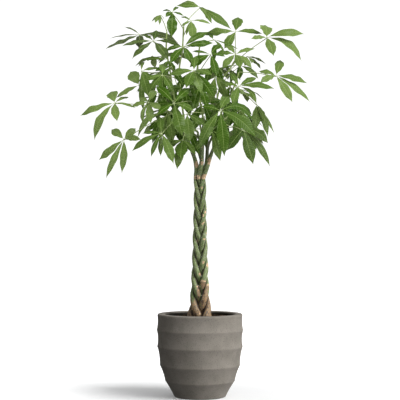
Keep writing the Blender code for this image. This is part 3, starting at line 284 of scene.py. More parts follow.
# Leaves at the back and the sides, which hang by one rule: a hub, the way that the leaf points in degrees
# clockwise from the back, the length of its longest leaflet in cm, and the number of leaflets.
SideLeaf = namedtuple("SideLeaf", "shoot share hub heading reach leaflets")
SIDE_LEAVES = [SideLeaf(*row) for row in (
    ("back", 1, (-11, 155, 22), 310, 12, 5),
    ("back", 0.85, (-1, 137, 40), 0, 14, 6),
    ("back", 0.7, (9, 148, 25), 50, 13, 6),
    ("back_left", 1, (-18, 146, 21), 290, 13, 5),
    ("back_left", 0.9, (-19, 135, 27), 290, 13, 6),
    ("back_left", 0.75, (-9, 138, 40), 350, 18, 6),
    ("back_left", 0.55, (-17, 123, 34), 330, 13, 6),
    ("back_right", 1, (19, 138, 23), 75, 12, 5),
    ("back_right", 0.85, (21, 126, 27), 75, 12, 5),
    ("back_right", 0.75, (9, 132, 42), 5, 17, 6),
    ("back_right", 0.5, (19, 120, 33), 35, 15, 6),
    ("back", 0.45, (-8, 119, 32), 320, 13, 5),
    ("right", 0.45, (18, 126, 14), 75, 12, 5),
    ("tall_left", 0.4, (-17, 129, 13), 285, 10.5, 5),
    ("tall_left", 0.75, (-21, 153, 11), 280, 11, 4),
    ("high_right", 0.7, (21, 153, 13), 80, 11, 4),
    ("back_left", 0.95, (-21, 141, 11), 275, 11, 4),
)]
FAN_SPREAD = math.radians(56)
FAN_DROOP = 0.42
FAN_SIDE_SHARE = 0.72
FAN_STAGGER = 0.35
FAN_TILT = 0.5


def seen(place):
    """A place in cm as (across, up, behind), seen from the front, as a point in metres."""
    across, up, behind = (value * CM for value in place)
    grow = 1.0 + behind / EYE_DISTANCE
    return Vector((across * grow, behind, EYE_HEIGHT + (up - EYE_HEIGHT) * grow))


def smooth_route(points, step):
    """Points about one step apart on a Catmull-Rom curve through the given points."""
    padded = [2 * points[0] - points[1], *points, 2 * points[-1] - points[-2]]
    route = []
    for before, start, end, after in zip(padded, padded[1:], padded[2:], padded[3:]):
        count = max(1, round((end - start).length / step))
        for index in range(count):
            t = index / count
            bend = (2 * before - 5 * start + 4 * end - after) * t * t
            twist = (3 * start - 3 * end + after - before) * t ** 3
            route.append(start + 0.5 * ((end - before) * t + bend + twist))
    route.append(points[-1])
    return route


def point_along(route, share):
    """The point at a share of the route's length."""
    lengths = [(b - a).length for a, b in zip(route, route[1:])]
    left = share * sum(lengths)
    for start, end, length in zip(route, route[1:], lengths):
        if left <= length:
            return start.lerp(end, left / length)
        left -= length
    return route[-1].copy()


def trunk_widths(heights):
    return np.interp(heights, *zip(*TRUNK_WIDTHS))


def strand_places(heights, strand, width_share):
    """Middle of a strand at each height, across and behind: it swings from edge to edge of the braid."""
    turn = BRAID_START_ANGLE + 2 * math.pi * ((heights - BRAID_START) / BRAID_PITCH + strand / STRANDS)
    spread = trunk_widths(heights) / width_share
    across = np.cos(turn) + BRAID_EDGE * np.cos(3 * turn)
    return spread * across, spread * BRAID_DEPTH * np.sin(2 * turn)


def strand_line(foot, step, strand, width_share):
    """A strand's middle from its foot to the braid's top, in even steps."""
    steps = round((BRAID_TOP - foot) / step)
    heights = foot + (BRAID_TOP - foot) * np.arange(steps + 1) / steps
    return [Vector(place) for place in zip(*strand_places(heights, strand, width_share), heights)]


def stem_route(stem):
    braid = strand_line(STEM_FOOT, STEM_STEP, stem.strand, BRAID_WIDTH_SHARE)
    above = smooth_route([braid[-2], braid[-1], *map(seen, stem.route)], STEM_TOP_STEP)
    return braid[:-1] + above[1:]


def stem_ends(stem):
    """The two ends of a stem: its own, and its fork's, each with the way it points."""
    route = stem_route(stem)
    fork = fork_route(stem, route)
    return [(line[-1], (line[-1] - line[-2]).normalized()) for line in (route, fork)]


def fork_route(stem, route):
    start = next(place for place in route if place.z > FORK_START)
    return smooth_route([start, *map(seen, stem.fork)], STEM_TOP_STEP)


def shoot_route(shoot):
    end, heading = stem_ends(STEMS[shoot.stem])[shoot.end]
    start = end + heading * GAP
    return [start] + smooth_route([start + heading * SHOOT_RISE, *map(seen, shoot.route)], SHOOT_STEP)


def leaflet_frame(root, tip, faces):
    """The way a leaflet points, the way across it and the way that its upper side looks."""
    ahead = (tip - root).normalized()
    upper = faces - ahead * faces.dot(ahead)
    if upper.length < FACING_LEAST:
        upper = UP - ahead * UP.dot(ahead) + FACING_LEAN
    upper.normalize()
    across = ahead.cross(upper).normalized()
    return ahead, across, across.cross(ahead).normalized()


def half_width(share):
    """A leaflet's half width at a share of its length, from 0 at the stalk to 0 at the tip."""
    return math.sin(math.pi * share ** BLADE_WIDEST) ** BLADE_BLUNT


def leaflet_rows(leaflet, stations):
    """Left edge, middle and right edge of an arched, folded blade at each station, and its tip."""
    root, tip, faces, width, arch, sway = leaflet
    ahead, across, upper = leaflet_frame(root, tip, faces)
    length = (tip - root).length
    points = []
    for share in stations:
        bow = 4 * share * (1 - share) * length
        middle = root + ahead * (length * share) + (upper * arch + across * sway) * bow
        half = half_width(share) * width / 2
        edge = upper * (BLADE_FOLD * half)
        points += [middle - across * half + edge, middle, middle + across * half + edge]
    return [*points, tip.copy()]


def row_faces(first, rows):
    """Triangles between rows of three points, then out to the tip."""
    faces = []
    for row in range(rows - 1):
        a = first + 3 * row
        faces += [(a, a + 1, a + 4), (a, a + 4, a + 3), (a + 1, a + 2, a + 4), (a + 2, a + 5, a + 4)]
    last = first + 3 * rows
    return [*faces, (last - 3, last - 2, last), (last - 2, last - 1, last)]


def leaflet_surface(leaflet, stations, rooted=True):
    """The open middle surface of one leaflet, from its root or only from its first station."""
    points = leaflet_rows(leaflet, stations)
    if not rooted:
        return points, row_faces(0, len(stations))
    side = leaflet_frame(leaflet.root, leaflet.tip, leaflet.faces)[1] * HUB_RING
    root = [leaflet.root - side, leaflet.root + side]
    return [*root, *points], [(0, 3, 2), (0, 1, 3), (1, 4, 3), *row_faces(2, len(stations))]


Leaflet = namedtuple("Leaflet", "root tip faces width arch sway")


def prism(route, radii, sides=4):
    """A plain tube's points and triangles, to test what it would touch."""
    points, faces = [], []
    for index, place in enumerate(route):
        ahead = (route[min(index + 1, len(route) - 1)] - route[max(index - 1, 0)]).normalized()
        side = ahead.orthogonal().normalized()
        other = ahead.cross(side)
        for corner in range(sides):
            angle = 2 * math.pi * corner / sides
            points.append(place + (side * math.cos(angle) + other * math.sin(angle)) * radii[index])
    for ring in range(len(route) - 1):
        for corner in range(sides):
            a = ring * sides + corner
            b = ring * sides + (corner + 1) % sides
            faces += [(a, b, b + sides), (a, b + sides, a + sides)]
    return points, faces


Placed = namedtuple("Placed", "middle reach tree outer node leaf is_stalk")


class Crowd:
    """What is already in place, to keep each new leaflet clear of it."""

    def __init__(self):
        self.things = []

    def describe(self, surface, node, leaf=None, outer=None, is_stalk=False):
        points, faces = surface
        middle = sum(points, Vector()) / len(points)
        reach = max((point - middle).length for point in points)
        outer_tree = BVHTree.FromPolygons(*outer) if outer else None
        return Placed(middle, reach, BVHTree.FromPolygons(points, faces), outer_tree, node, leaf, is_stalk)

    def add(self, *thing, is_stalk=False):
        """A leaf's own leaflets keep clear of its stalk only short of the hub."""
        self.things.append(self.describe(*thing, is_stalk=is_stalk))

    def touched(self, surface, node, leaf, outer=None):
        """How many things of other nodes or of the same leaf it touches, and of the same node."""
        new = self.describe(surface, node, leaf, outer)
        others = own = 0
        for thing in self.things:
            if (thing.middle - new.middle).length > thing.reach + new.reach:
                continue
            if leaf is not None and thing.leaf == leaf:
                mine = new.tree if thing.is_stalk else new.outer
                if mine.overlap(thing.outer):
                    others += 1
            elif new.tree.overlap(thing.tree):
                if thing.node == node:
                    own += 1
                else:
                    others += 1
        return others, own


def thick(surface, leaflet, depth):
    """The leaflet's surface as two faces, each a depth off the middle one, and the rim between them."""
    points, faces = surface
    upper = leaflet_frame(leaflet.root, leaflet.tip, leaflet.faces)[2]
    above = [point + upper * depth for point in points]
    below = [point - upper * depth for point in points]
    count = len(points)
    edges = {(face[i - 1], face[i]) for face in faces for i in range(3)}
    rim = []
    for a, b in sorted(edges):
        if (b, a) not in edges:
            rim += [(a, b, b + count), (a, b + count, a + count)]
    return above + below, faces + [tuple(i + count for i in face) for face in faces] + rim


def thick_leaflet(leaflet, depth):
    """A leaflet's two faces, whole and without its root, to test what it would touch."""
    whole = thick(leaflet_surface(leaflet, BLADE_STATIONS), leaflet, depth)
    return whole, thick(leaflet_surface(leaflet, BLADE_STATIONS, rooted=False), leaflet, depth)


def swings():
    """Pairs of angles to swing a leaflet by, smallest first."""
    steps = range(-SWING_MOST, SWING_MOST + 1)
    pairs = [(lift, turn) for lift in steps for turn in steps]
    return sorted(pairs, key=lambda pair: (pair[0] ** 2 + pair[1] ** 2, pair))


def swung(leaflet, lift, turn, shorten):
    _, across, upper = leaflet_frame(leaflet.root, leaflet.tip, leaflet.faces)
    bend = Matrix.Rotation(lift * SWING_STEP, 3, across) @ Matrix.Rotation(turn * SWING_STEP, 3, upper)
    tip = leaflet.root + bend @ (leaflet.tip - leaflet.root) * shorten
    return leaflet._replace(tip=tip, width=leaflet.width * shorten)


def settle(leaflet, crowd, node, leaf):
    """The leaflet, swung as little as will keep it clear of what is already in place."""
    best = None
    for shorten in SHORTENINGS:
        for lift, turn in swings():
            tried = swung(leaflet, lift, turn, shorten)
            surface, outer = thick_leaflet(tried, CLEARANCE)
            others, own = crowd.touched(surface, node, leaf, outer)
            if not others and not own:
                return tried
            if not others and best is None:
                best = tried
        if best is not None:
            return best
    return None


def fan_tips(leaf):
    """Hub and leaflet tips of a leaf that hangs by the rule for the sides and the back."""
    hub = seen(leaf.hub)
    heading = math.radians(leaf.heading)
    tips = []
    for index in range(leaf.leaflets):
        offset = index - (leaf.leaflets - 1) / 2
        angle = heading + offset * FAN_SPREAD
        reach = leaf.reach * CM * (1 - (1 - FAN_SIDE_SHARE) * min(1.0, abs(offset) / 2))
        out = Vector((math.sin(angle), math.cos(angle), 0.0))
        tips.append(hub + (out - UP * FAN_DROOP * (1 + FAN_STAGGER * (index % 2))).normalized() * reach)
    faces = Vector((math.sin(heading) * FAN_TILT, math.cos(heading) * FAN_TILT, 1.0))
    return hub, faces.normalized(), tips


def leaf_plan(leaf):
    if isinstance(leaf, SideLeaf):
        return fan_tips(leaf)
    return seen(leaf.hub), Vector(leaf.faces).normalized(), [seen(tip[:3]) for tip in leaf.tips]


def leaflet_width(leaf, index, length, chance):
    """The width given with a leaflet's tip, or else one that grows with its length."""
    tip = leaf.tips[index] if isinstance(leaf, Leaf) else ()
    if len(tip) > 3:
        return tip[3] * CM
    return (BLADE_WIDTH_LEAST + length * BLADE_WIDTH_SHARE) * chance.uniform(*WIDTH_SPREAD)


def leaflet_sway(leaf, index):
    """How far a leaflet bows to its right, as a share of its length, where one is given with its tip."""
    tip = leaf.tips[index] if isinstance(leaf, Leaf) else ()
    return tip[4] if len(tip) > 4 else 0.0


def petiole_route(start, hub, faces, bow):
    """A leaf stalk from just under the hub to inside its shoot, bowed by a share of its length."""
    below = hub - faces * HUB_DEPTH
    length = (start - below).length
    ahead = (start - below).normalized()
    side = (UP - ahead * UP.dot(ahead)).normalized()
    middle = start.lerp(below, 0.5) + side * (bow * length)
    return [below, middle, start]


def stalk_surfaces(stalk):
    """The stalk, a little fatter than it is, with its hub and short of it, to test what it would touch."""
    below, middle, start = stalk
    ahead = (middle - below).normalized()
    fat = PETIOLE_RADIUS + CLEARANCE
    hub = HUB_RING + CLEARANCE
    whole = prism([below - ahead * HUB_DEPTH * HUB_TESTED, below, middle, start], [hub, hub, fat, fat])
    return whole, prism([below + ahead * HUB_CLEAR, middle, start], [fat, fat, fat])


def woody_crowd(routes):
    """A crowd that holds the tops of the woody stems and every green shoot."""
    crowd = Crowd()
    for name, stem in STEMS.items():
        route = [place for place in stem_route(stem) if place.z > FOLIAGE_FOOT]
        crowd.add(prism(route, [STEM_END_RADIUS + CLEARANCE] * len(route), 8), name)
        fork = fork_route(stem, stem_route(stem))
        crowd.add(prism(fork, [FORK_RADIUS + CLEARANCE] * len(fork), 8), name)
    for name, route in routes.items():
        crowd.add(prism(route, [SHOOT_RADIUS + CLEARANCE] * len(route), 6), name)
    return crowd


def plan_stalks(routes, crowd):
    """A stalk for each leaf, bowed as little as keeps it clear of the other shoots and their stalks."""
    stalks = []
    for number, leaf in enumerate((*LEAVES, *SIDE_LEAVES)):
        hub, faces, _ = leaf_plan(leaf)
        start = point_along(routes[leaf.shoot], leaf.share)
        for bow in BOW_SHARES:
            stalk = petiole_route(start, hub, faces, bow)
            surface, outer = stalk_surfaces(stalk)
            if crowd.touched(surface, leaf.shoot, None)[0] == 0:
                break
        crowd.add(surface, leaf.shoot, number, outer, is_stalk=True)
        stalks.append(stalk)
    return stalks


def plan_foliage():
    """Every shoot's route, and every leaf's stalk and leaflets, all clear of each other."""
    routes = {name: shoot_route(shoot) for name, shoot in SHOOTS.items()}
    crowd = woody_crowd(routes)
    stalks = plan_stalks(routes, crowd)
    planned = []
    for number, leaf in enumerate((*LEAVES, *SIDE_LEAVES)):
        chance = random.Random(number)
        hub, faces, tips = leaf_plan(leaf)
        leaflets = []
        for index, tip in enumerate(tips):
            width = leaflet_width(leaf, index, (tip - hub).length, chance)
            arch = BLADE_ARCH * chance.uniform(*ARCH_SPREAD)
            leaflet = Leaflet(hub, tip, faces, width, arch, leaflet_sway(leaf, index))
            placed = settle(leaflet, crowd, leaf.shoot, number)
            if placed:
                surface, outer = thick_leaflet(placed, BLADE_THICKNESS / 2)
                crowd.add(surface, leaf.shoot, number, outer)
                leaflets.append(placed)
        planned.append((leaf.shoot, hub, faces, leaflets, stalks[number]))
    return routes, planned


# Camera and stage
CAMERA_PLACE = (0.0, -5.0, 0.75)
CAMERA_TARGET = (0.0, 0.0, 0.881)
CAMERA_LENS = 99.8
SENSOR_WIDTH = 36.0

# Floor: half its width, its height, and its glow, from one distance off the pot and its value to another
# The floor glows less near the pot, which paints a shadow round the pot's foot
FLOOR_HALF = 14.0
FLOOR_TOP = -0.0004
FLOOR_GLOW_AND_SHADOW = (0.24, 1.06, 0.15, 0.60)

# Lamps: place, target, watts and cone in degrees of each fill; the sun's direction, strength and softness
FILLS = {
    "fill_front": ((-2.0, -3.0, 1.9), (-0.1, 0.0, 1.45), 210.0, 31.0),
    "fill_low": ((0.4, -2.6, 0.35), (0.0, 0.1, 1.45), 50.0, 34.0),
    "fill_pot": ((2.4, -2.5, 1.0), (0.02, 0.0, 0.24), 1250.0, 8.0),
}
FILL_BLEND = 0.6
FILL_SIZE = 0.7
SUN_TOWARDS = (0.70, -0.38, 0.60)
SUN_STRENGTH = 2.45
SUN_SOFTNESS = math.radians(34)
SUN_AWAY = 4

# World: the side that its light leans to, its least and most strength, and what the camera sees
WORLD_LEAN = (0.82, -0.12, 0.54)
WORLD_LOW = 0.03
WORLD_HIGH = 0.62
BACKDROP = 1.1

# Pot: ridges as (radius, height), and how deep each band between two of them is hollowed
POT_RIDGES = ((0.191, 0.364), (0.194, 0.298), (0.192, 0.224), (0.180, 0.141), (0.156, 0.071), (0.117, 0.004))
POT_HOLLOWS = (0.0030, 0.0042, 0.0037, 0.0028, 0.0018)
POT_BAND_POINTS = 18
POT_SIDES = 144
POT_FLOOR = ((0.0, 0.030), (0.05, 0.030), (0.100, 0.030), (0.103, 0.033))
POT_WALL_STEPS = (0.34, 0.67, 1.0)
POT_LIP_POINTS = 7
POT_FOOT = ((0.1150, 0.0012), (0.1120, 0.0), (0.06, 0.0), (0.0, 0.0))
POT_FOOT_PLAIN = 0.006

# Unevenness of the pot and clods of the soil, in layers of noise: scale, seed and height
POT_UNEVEN = ((9.0, 2, 0.0006), (45.0, 5, 0.00018))
SOIL_CLODS = ((60.0, 4, 0.0022), (170.0, 6, 0.0016), (420.0, 8, 0.0009))
SOIL_RINGS = 46
SOIL_SIDES = 150
SOIL_RIM = 0.004
SOIL_TOP_DEPTH = 0.001
SOIL_SEED = 77
SOIL_CRUMBS = 260
CRUMB_SIZES = (0.0018, 0.0052)
CRUMB_STRETCH = ((0.9, 1.8), (0.7, 1.2), (0.4, 0.8))
CRUMB_AREA = (0.12, 0.96)
CRUMB_CLEAR = 0.008
CRUMB_RISE = 0.1
CRUMB_TURNS = (0, 6.28)
CRUMB_ROUGH = (0.75, 1.15)
NO_TINT = (0.0, 0.0, 0.0)

# Strands of the braid: thicker than the solids and pressed together
PRESSED_WIDTH_SHARE = 3.10
PRESSED_STRAND_SHARE = 0.495
# Painted shade on the strands: where they meet, up to a height, and on sides that face into the braid
CREASE_REACH = 0.0048
CREASE_TOP = BRAID_TOP + 0.03
SHOWN_LEAST = -0.05
SHOWN_FULL = 0.76
STEM_SWELL = 0.0018
STEM_SWELL_HEIGHT = 1.03
STEM_SWELL_REACH = 0.035
STEM_THINS = (BRAID_TOP + 0.05, BRAID_TOP + 0.17)
STEM_TIP_SHARE = 0.66
STEM_TIP_LENGTH = 0.06
FORK_SHARES = (1.15, 0.90)
FORK_SEED = 11
STRAND_SIDES = 28
STRAND_STEP = 0.005
STRAND_FOOT = 0.325
# Painted shade on stems that stand in shade: how dark above the braid, and the heights where it starts
SHADED_STEMS = {"stem_4": 0.62}
SHADED_STEMS_START = (1.02, 1.09)
FOOT_BROWN_END = (0.385, 0.47)
FOOT_BROWN_WANDER = 0.03

# How far the noise of one seed lies from the next
NOISE_SHIFT = Vector((7.3, 3.1, 5.7))

# Bark relief and its noise scale: broad lumps as a share of the radius, fine grain in metres
BARK_LUMPS = (0.025, 55.0)
BARK_GRAIN = (0.00025, 220.0)

# Leaf scars all round each stem, with a faint ring at each
KNOT_FIRST = (0.01, 0.03)
KNOT_STEPS = (0.022, 0.052)
KNOT_SIZES = (0.6, 1.0)
KNOT_WIDTH = 0.0046
KNOT_HEIGHT = 0.0030
KNOT_RISE = 0.0011
RING_HEIGHT = 0.0035
RING_RISE = 0.0004
SCAR_CONTRAST = 1.8
SCAR_LEAST = 0.3
SCAR_SHADE = 0.8

# Spots on the front: their wavering edge, as noise and as a span of their reach, and how far they face front
SPOT_WANDER = ((160.0, 3, 0.35),)
SPOT_EDGE = (0.75, 1.15)
SPOT_FACING = (0.0, 0.25)

# Scars on the front of the trunk: (across, up, half width, half height) in cm, as seen from the front
FRONT_SCARS = (
    (-1.3, 98.4, 1.6, 1.0), (2.2, 98.6, 1.8, 1.1), (-1.5, 104.2, 0.9, 1.6), (4.2, 105.6, 0.9, 1.6),
    (0.9, 104.9, 0.6, 0.8), (0.8, 93.7, 0.5, 0.5), (2.4, 82.7, 0.4, 0.5), (1.5, 81.1, 0.4, 0.4),
    (1.3, 77.5, 0.5, 0.4), (1.9, 70.5, 0.5, 0.5), (-1.2, 69.6, 0.5, 0.5), (1.5, 60.1, 0.5, 0.6),
    (3.4, 58.8, 0.4, 0.9), (-0.1, 54.7, 0.6, 0.6), (1.5, 51.6, 1.3, 0.5), (-0.9, 49.3, 1.0, 0.45),
    (3.6, 49.9, 0.8, 0.5),
)

# Brown, weathered patches on the front of the trunk's foot, in the same way
FOOT_PATCHES = (
    (1.5, 49.9, 1.3, 2.1), (-0.6, 46.6, 1.0, 2.6), (3.4, 48.5, 0.9, 1.3), (2.4, 43.2, 1.7, 4.4),
    (4.8, 40.5, 1.5, 5.4), (-1.9, 39.0, 2.0, 4.0), (-4.6, 39.0, 1.5, 4.5),
)


class Pile:
    """Points, faces and surface values gathered for one mesh."""

    def __init__(self):
        self.count = 0
        self.points = []
        self.faces = []
        self.slots = []
        self.rims = []
        self.places = []
        self.tints = []

    def add(self, points, faces, slots, places, tints, rims=None):
        self.faces += [tuple(index + self.count for index in face) for face in faces]
        self.slots += slots if isinstance(slots, list) else [slots] * len(faces)
        self.points.append(points)
        self.places.append(places)
        self.tints.append(np.broadcast_to(tints, (len(points), 3)))
        rims = np.zeros(len(points), int) if rims is None else np.where(rims > 0, rims + 2 * self.count, 0)
        self.rims.append(rims)
        self.count += len(points)

    def build(self, name, materials, node):
        """One smooth mesh, sharp along its rims, which stands for a node of the solid model."""
        mesh = bpy.data.meshes.new(name)
        mesh.from_pydata(np.concatenate(self.points).tolist(), [], self.faces)
        for material in materials:
            mesh.materials.append(material)
        mesh.polygons.foreach_set("material_index", self.slots)
        mesh.polygons.foreach_set("use_smooth", [True] * len(mesh.polygons))
        for label, values in (("surface_place", self.places), ("surface_tint", self.tints)):
            attribute = mesh.attributes.new(label, "FLOAT_VECTOR", "POINT")
            attribute.data.foreach_set("vector", np.concatenate(values).astype(np.float32).ravel())
        rims = np.concatenate(self.rims)
        edges = np.zeros(len(mesh.edges) * 2, int)
        mesh.edges.foreach_get("vertices", edges)
        ends = rims[edges.reshape(-1, 2)]
        sharp = (ends[:, 0] > 0) & (ends[:, 0] == ends[:, 1])
        mesh.edges.foreach_set("use_edge_sharp", sharp.tolist())
        mesh.update()
        piece = bpy.data.objects.new(name, mesh)
        bpy.context.scene.collection.objects.link(piece)
        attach(piece, "root")
        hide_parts(node)


def smooth_step(low, high, value):
    share = np.clip((value - low) / (high - low), 0.0, 1.0)
    return share * share * (3 - 2 * share)


def loop_faces(rings, around):
    """Faces between closed rings of points, with a cap at each end."""
    faces = []
    for ring in range(rings - 1):
        for step in range(around):
            a = ring * around + step
            b = ring * around + (step + 1) % around
            faces.append((a, b, b + around, a + around))
    last = (rings - 1) * around
    return [*faces, tuple(reversed(range(around))), tuple(range(last, last + around))]


def line_lengths(line):
    """The length along a line at each of its points."""
    steps = np.linalg.norm(np.diff(np.array(line), axis=0), axis=1)
    return np.concatenate([[0.0], np.cumsum(steps)])


def line_frames(line):
    """A line's points, and two directions across it at each that don't twist."""
    points = np.array(line)
    steps = np.diff(points, axis=0)
    ahead = np.vstack([steps[:1], (steps[1:] + steps[:-1]) / 2, steps[-1:]])
    ahead /= np.linalg.norm(ahead, axis=1)[:, None]
    side = np.array(Vector(ahead[0]).orthogonal().normalized())
    sides = []
    for heading in ahead:
        side = side - heading * side.dot(heading)
        side /= np.linalg.norm(side)
        sides.append(side)
    return points, np.array(sides), np.cross(ahead, sides)


def round_tube(line, radii, around):
    """A tube's points, its faces, and each point's angle, length along and way out."""
    points, first, second = line_frames(line)
    angles = 2 * np.pi * np.arange(around) / around
    out = first[:, None] * np.cos(angles)[None, :, None] + second[:, None] * np.sin(angles)[None, :, None]
    radii = np.asarray(radii, float)
    radii = radii[:, None] if radii.ndim == 1 else radii
    surface = points[:, None] + out * radii[..., None]
    around_angles = np.broadcast_to(angles, (len(points), around))
    along = np.broadcast_to(line_lengths(line)[:, None], (len(points), around))
    return surface.reshape(-1, 3), loop_faces(len(points), around), around_angles, along, out


def bark_place(angles, along, radius):
    """Where a point lies on the bark, so that its grain follows the stem."""
    return np.stack([np.cos(angles) * radius, np.sin(angles) * radius, along], -1).reshape(-1, 3)


# Woody stems

def pressed_radii(heights):
    full = PRESSED_STRAND_SHARE * trunk_widths(heights) / PRESSED_WIDTH_SHARE
    full = full + STEM_SWELL * np.exp(-((heights - STEM_SWELL_HEIGHT) / STEM_SWELL_REACH) ** 2)
    return full + (STEM_END_RADIUS - full) * smooth_step(*STEM_THINS, heights)


def painted_crease_shade(points, out, strand):
    """Painted shade: 1 where a strand meets its neighbours or turns into the braid, 0 on its outer side."""
    heights = points[:, 2]
    nearest = np.ones(len(points))
    for other in range(STRANDS):
        if other != strand:
            across, behind = strand_places(heights, other, PRESSED_WIDTH_SHARE)
            gap = np.hypot(points[:, 0] - across, points[:, 1] - behind) - pressed_radii(heights)
            nearest = np.minimum(nearest, gap)
    in_braid = 1 - smooth_step(BRAID_TOP, CREASE_TOP, heights)
    away = points[:, :2] / np.maximum(np.hypot(points[:, 0], points[:, 1]), 1e-6)[:, None]
    shown = (out[:, :2] * away).sum(axis=1)
    meets = 1 - smooth_step(0.0, CREASE_REACH, nearest)
    turned_in = 1 - smooth_step(SHOWN_LEAST, SHOWN_FULL, shown)
    return np.maximum(meets, turned_in) * in_braid


def fine_stem_line(stem):
    braid = strand_line(STRAND_FOOT, STRAND_STEP, stem.strand, PRESSED_WIDTH_SHARE)
    reach = round(STEM_TOP_STEP / STRAND_STEP)
    above = smooth_route([braid[-reach], braid[-1], *map(seen, stem.route)], STRAND_STEP)
    return braid[:-1] + above[len(smooth_route([braid[-reach], braid[-1]], STRAND_STEP)) - 1:]


def knots(seed, length):
    """Where a stem's nodes are: length along, angle, and size of each leaf scar."""
    chance = random.Random(seed)
    places = []
    along = chance.uniform(*KNOT_FIRST)
    while along < length:
        places.append((along, chance.uniform(0, 2 * math.pi), chance.uniform(*KNOT_SIZES)))
        along += chance.uniform(*KNOT_STEPS)
    return places


def knot_relief(places, angles, along, radius):
    """Height of the leaf scars, their mask, and the faint rings round the stem at each node."""
    height = np.zeros(angles.shape)
    mask = np.zeros(angles.shape)
    for start, angle, size in places:
        turn = (angles - angle + np.pi) % (2 * np.pi) - np.pi
        across = turn * radius / (KNOT_WIDTH * size)
        up = (along - start) / (KNOT_HEIGHT * size)
        spot = np.exp(-(across ** 2 + up ** 2))
        ring = np.exp(-((along - start) / RING_HEIGHT) ** 2)
        height += KNOT_RISE * size * spot + RING_RISE * ring
        mask = np.maximum(mask, np.clip(spot * SCAR_CONTRAST - SCAR_LEAST, 0, 1) * size)
    return height, mask


def rough(points, scale, seed):
    """Smooth seeded noise from -1 to 1 at each point."""
    shift = NOISE_SHIFT * seed
    return np.array([noise.noise(Vector(point) * scale + shift) for point in points])


def layered_noise(points, layers):
    return sum(rough(points, scale, seed) * height for scale, seed, height in layers)


def front_spots(points, out, spots):
    """How much of the spots on the trunk's front covers each point."""
    mask = np.zeros(len(points))
    wander = layered_noise(points, SPOT_WANDER)
    for across, up, half_across, half_up in spots:
        depth = (points[:, 1] + EYE_DISTANCE) / EYE_DISTANCE
        seen_across = points[:, 0] / depth / CM
        seen_up = (EYE_HEIGHT + (points[:, 2] - EYE_HEIGHT) / depth) / CM
        reach = np.hypot((seen_across - across) / half_across, (seen_up - up) / half_up) + wander
        mask = np.maximum(mask, 1 - smooth_step(*SPOT_EDGE, reach))
    return mask * smooth_step(*SPOT_FACING, -out[:, 1])


def add_stem(pile, line, radii, seed, strand=None, shade=0.0):
    """A stem's tube with its relief, scars, brown foot and painted shade in creases and on shaded stems."""
    plain, _, angles, along, _ = round_tube(line, radii, STRAND_SIDES)
    radius = np.asarray(radii)[:, None]
    relief, mask = knot_relief(knots(seed, along.max()), angles, along, radius)
    lumps, fine = (rough(plain, scale, seed).reshape(angles.shape) for _, scale in (BARK_LUMPS, BARK_GRAIN))
    radii = radius * (1 + BARK_LUMPS[0] * lumps) + relief + BARK_GRAIN[0] * fine
    surface, faces, angles, along, out = round_tube(line, radii, STRAND_SIDES)
    out = out.reshape(-1, 3)
    scars = np.maximum(mask.ravel() * SCAR_SHADE, front_spots(surface, out, FRONT_SCARS))
    height = surface[:, 2] + FOOT_BROWN_WANDER * lumps.ravel()
    base = np.maximum(1 - smooth_step(*FOOT_BROWN_END, height), front_spots(surface, out, FOOT_PATCHES))
    # Painted shade in the braid's creases and on the upper part of shaded stems
    dark = painted_crease_shade(surface, out, strand) if strand is not None else np.zeros(len(surface))
    dark = np.maximum(dark, shade * smooth_step(*SHADED_STEMS_START, surface[:, 2]))
    pile.add(surface, faces, 0, bark_place(angles, along, radius), np.stack([scars, base, dark], -1))


def make_fine_stem(number, name, stem, material):
    pile = Pile()
    line = fine_stem_line(stem)
    lengths = line_lengths(line)
    thinner = (1 - STEM_TIP_SHARE) * np.maximum(0.0, 1 - (lengths[-1] - lengths) / STEM_TIP_LENGTH)
    radii = pressed_radii(np.array([point.z for point in line])) * (1 - thinner)
    shade = SHADED_STEMS.get(name, 0.0)
    add_stem(pile, line, radii, number + 1, stem.strand, shade)
    fork = smooth_route(fork_route(stem, stem_route(stem)), STRAND_STEP)
    fork[0] = min(line, key=lambda point: (point - fork[0]).length)
    radii = FORK_RADIUS * np.linspace(*FORK_SHARES, len(fork))
    add_stem(pile, fork, radii, number + FORK_SEED, None, shade)
    pile.build(name + "_bark", [material], name)


# Leaves

LEAF_COLUMNS = (-1.0, -0.72, -0.42, -0.12, 0.0, 0.12, 0.42, 0.72, 1.0)
LEAF_ROWS = 20
LEAF_ENDS = (0.02, 0.995)
PETIOLULE_ROWS = (0.0, 0.4, 0.8)
PETIOLULE_SHARE = 0.055
PETIOLULE_RADIUS = 0.0010
PETIOLULE_END = 1 / 14
LEAF_BODY = 0.00055
LEAF_FOLD = 0.15
LEAF_CURL = 0.16
LEAF_SWAY = 0.012
LEAF_TWIST = 0.30
EDGE_WAVE = (0.02, 0.05)
EDGE_WAVES = (3, 5)
FLUTTER = (0.03, 0.085)
FLUTTER_WAVES = (2.2, 3.6)
RIB_SUNK = 0.0002
RIB_RAISED = 0.0010
RIB_THINS = 0.75

# Leaf stalks and green shoots: a stalk swells by so much at its foot and its hub, and how fast that fades
HUB_TOP = 0.0012
STALK_STEP = 0.006
STALK_SIDES = 8
STALK_RADIUS = 0.0018
STALK_END_RADIUS = 0.0012
STALK_SWELLS = ((0.0011, 0.010), (0.0008, 0.006))
SHOOT_SIDES = 12
SHOOT_LUMPS = (0.10, 60.0)
SHOOT_END_RADIUS = 0.0014
SHOOT_TINT = (0.4, 0.5, 1.0)

# Crown, with painted shade that makes its core darker than its rim
CROWN_MIDDLE = Vector((0.0, 0.0, 1.30))
CROWN_REACH = (0.42, 0.42, 0.46)
CROWN_CORE = 0.42
CROWN_RIM = 0.6
LEAF_SEED = 1000
LEAF_SPREAD = 0.12
LEAF_LEVELS = (-0.5, 1.3)
BLADE_FULLEST = 1.20
BLADE_ROUND = 0.84
BLADE_SHARPENED = 0.60
BLADE_SHARP_FROM = 0.60
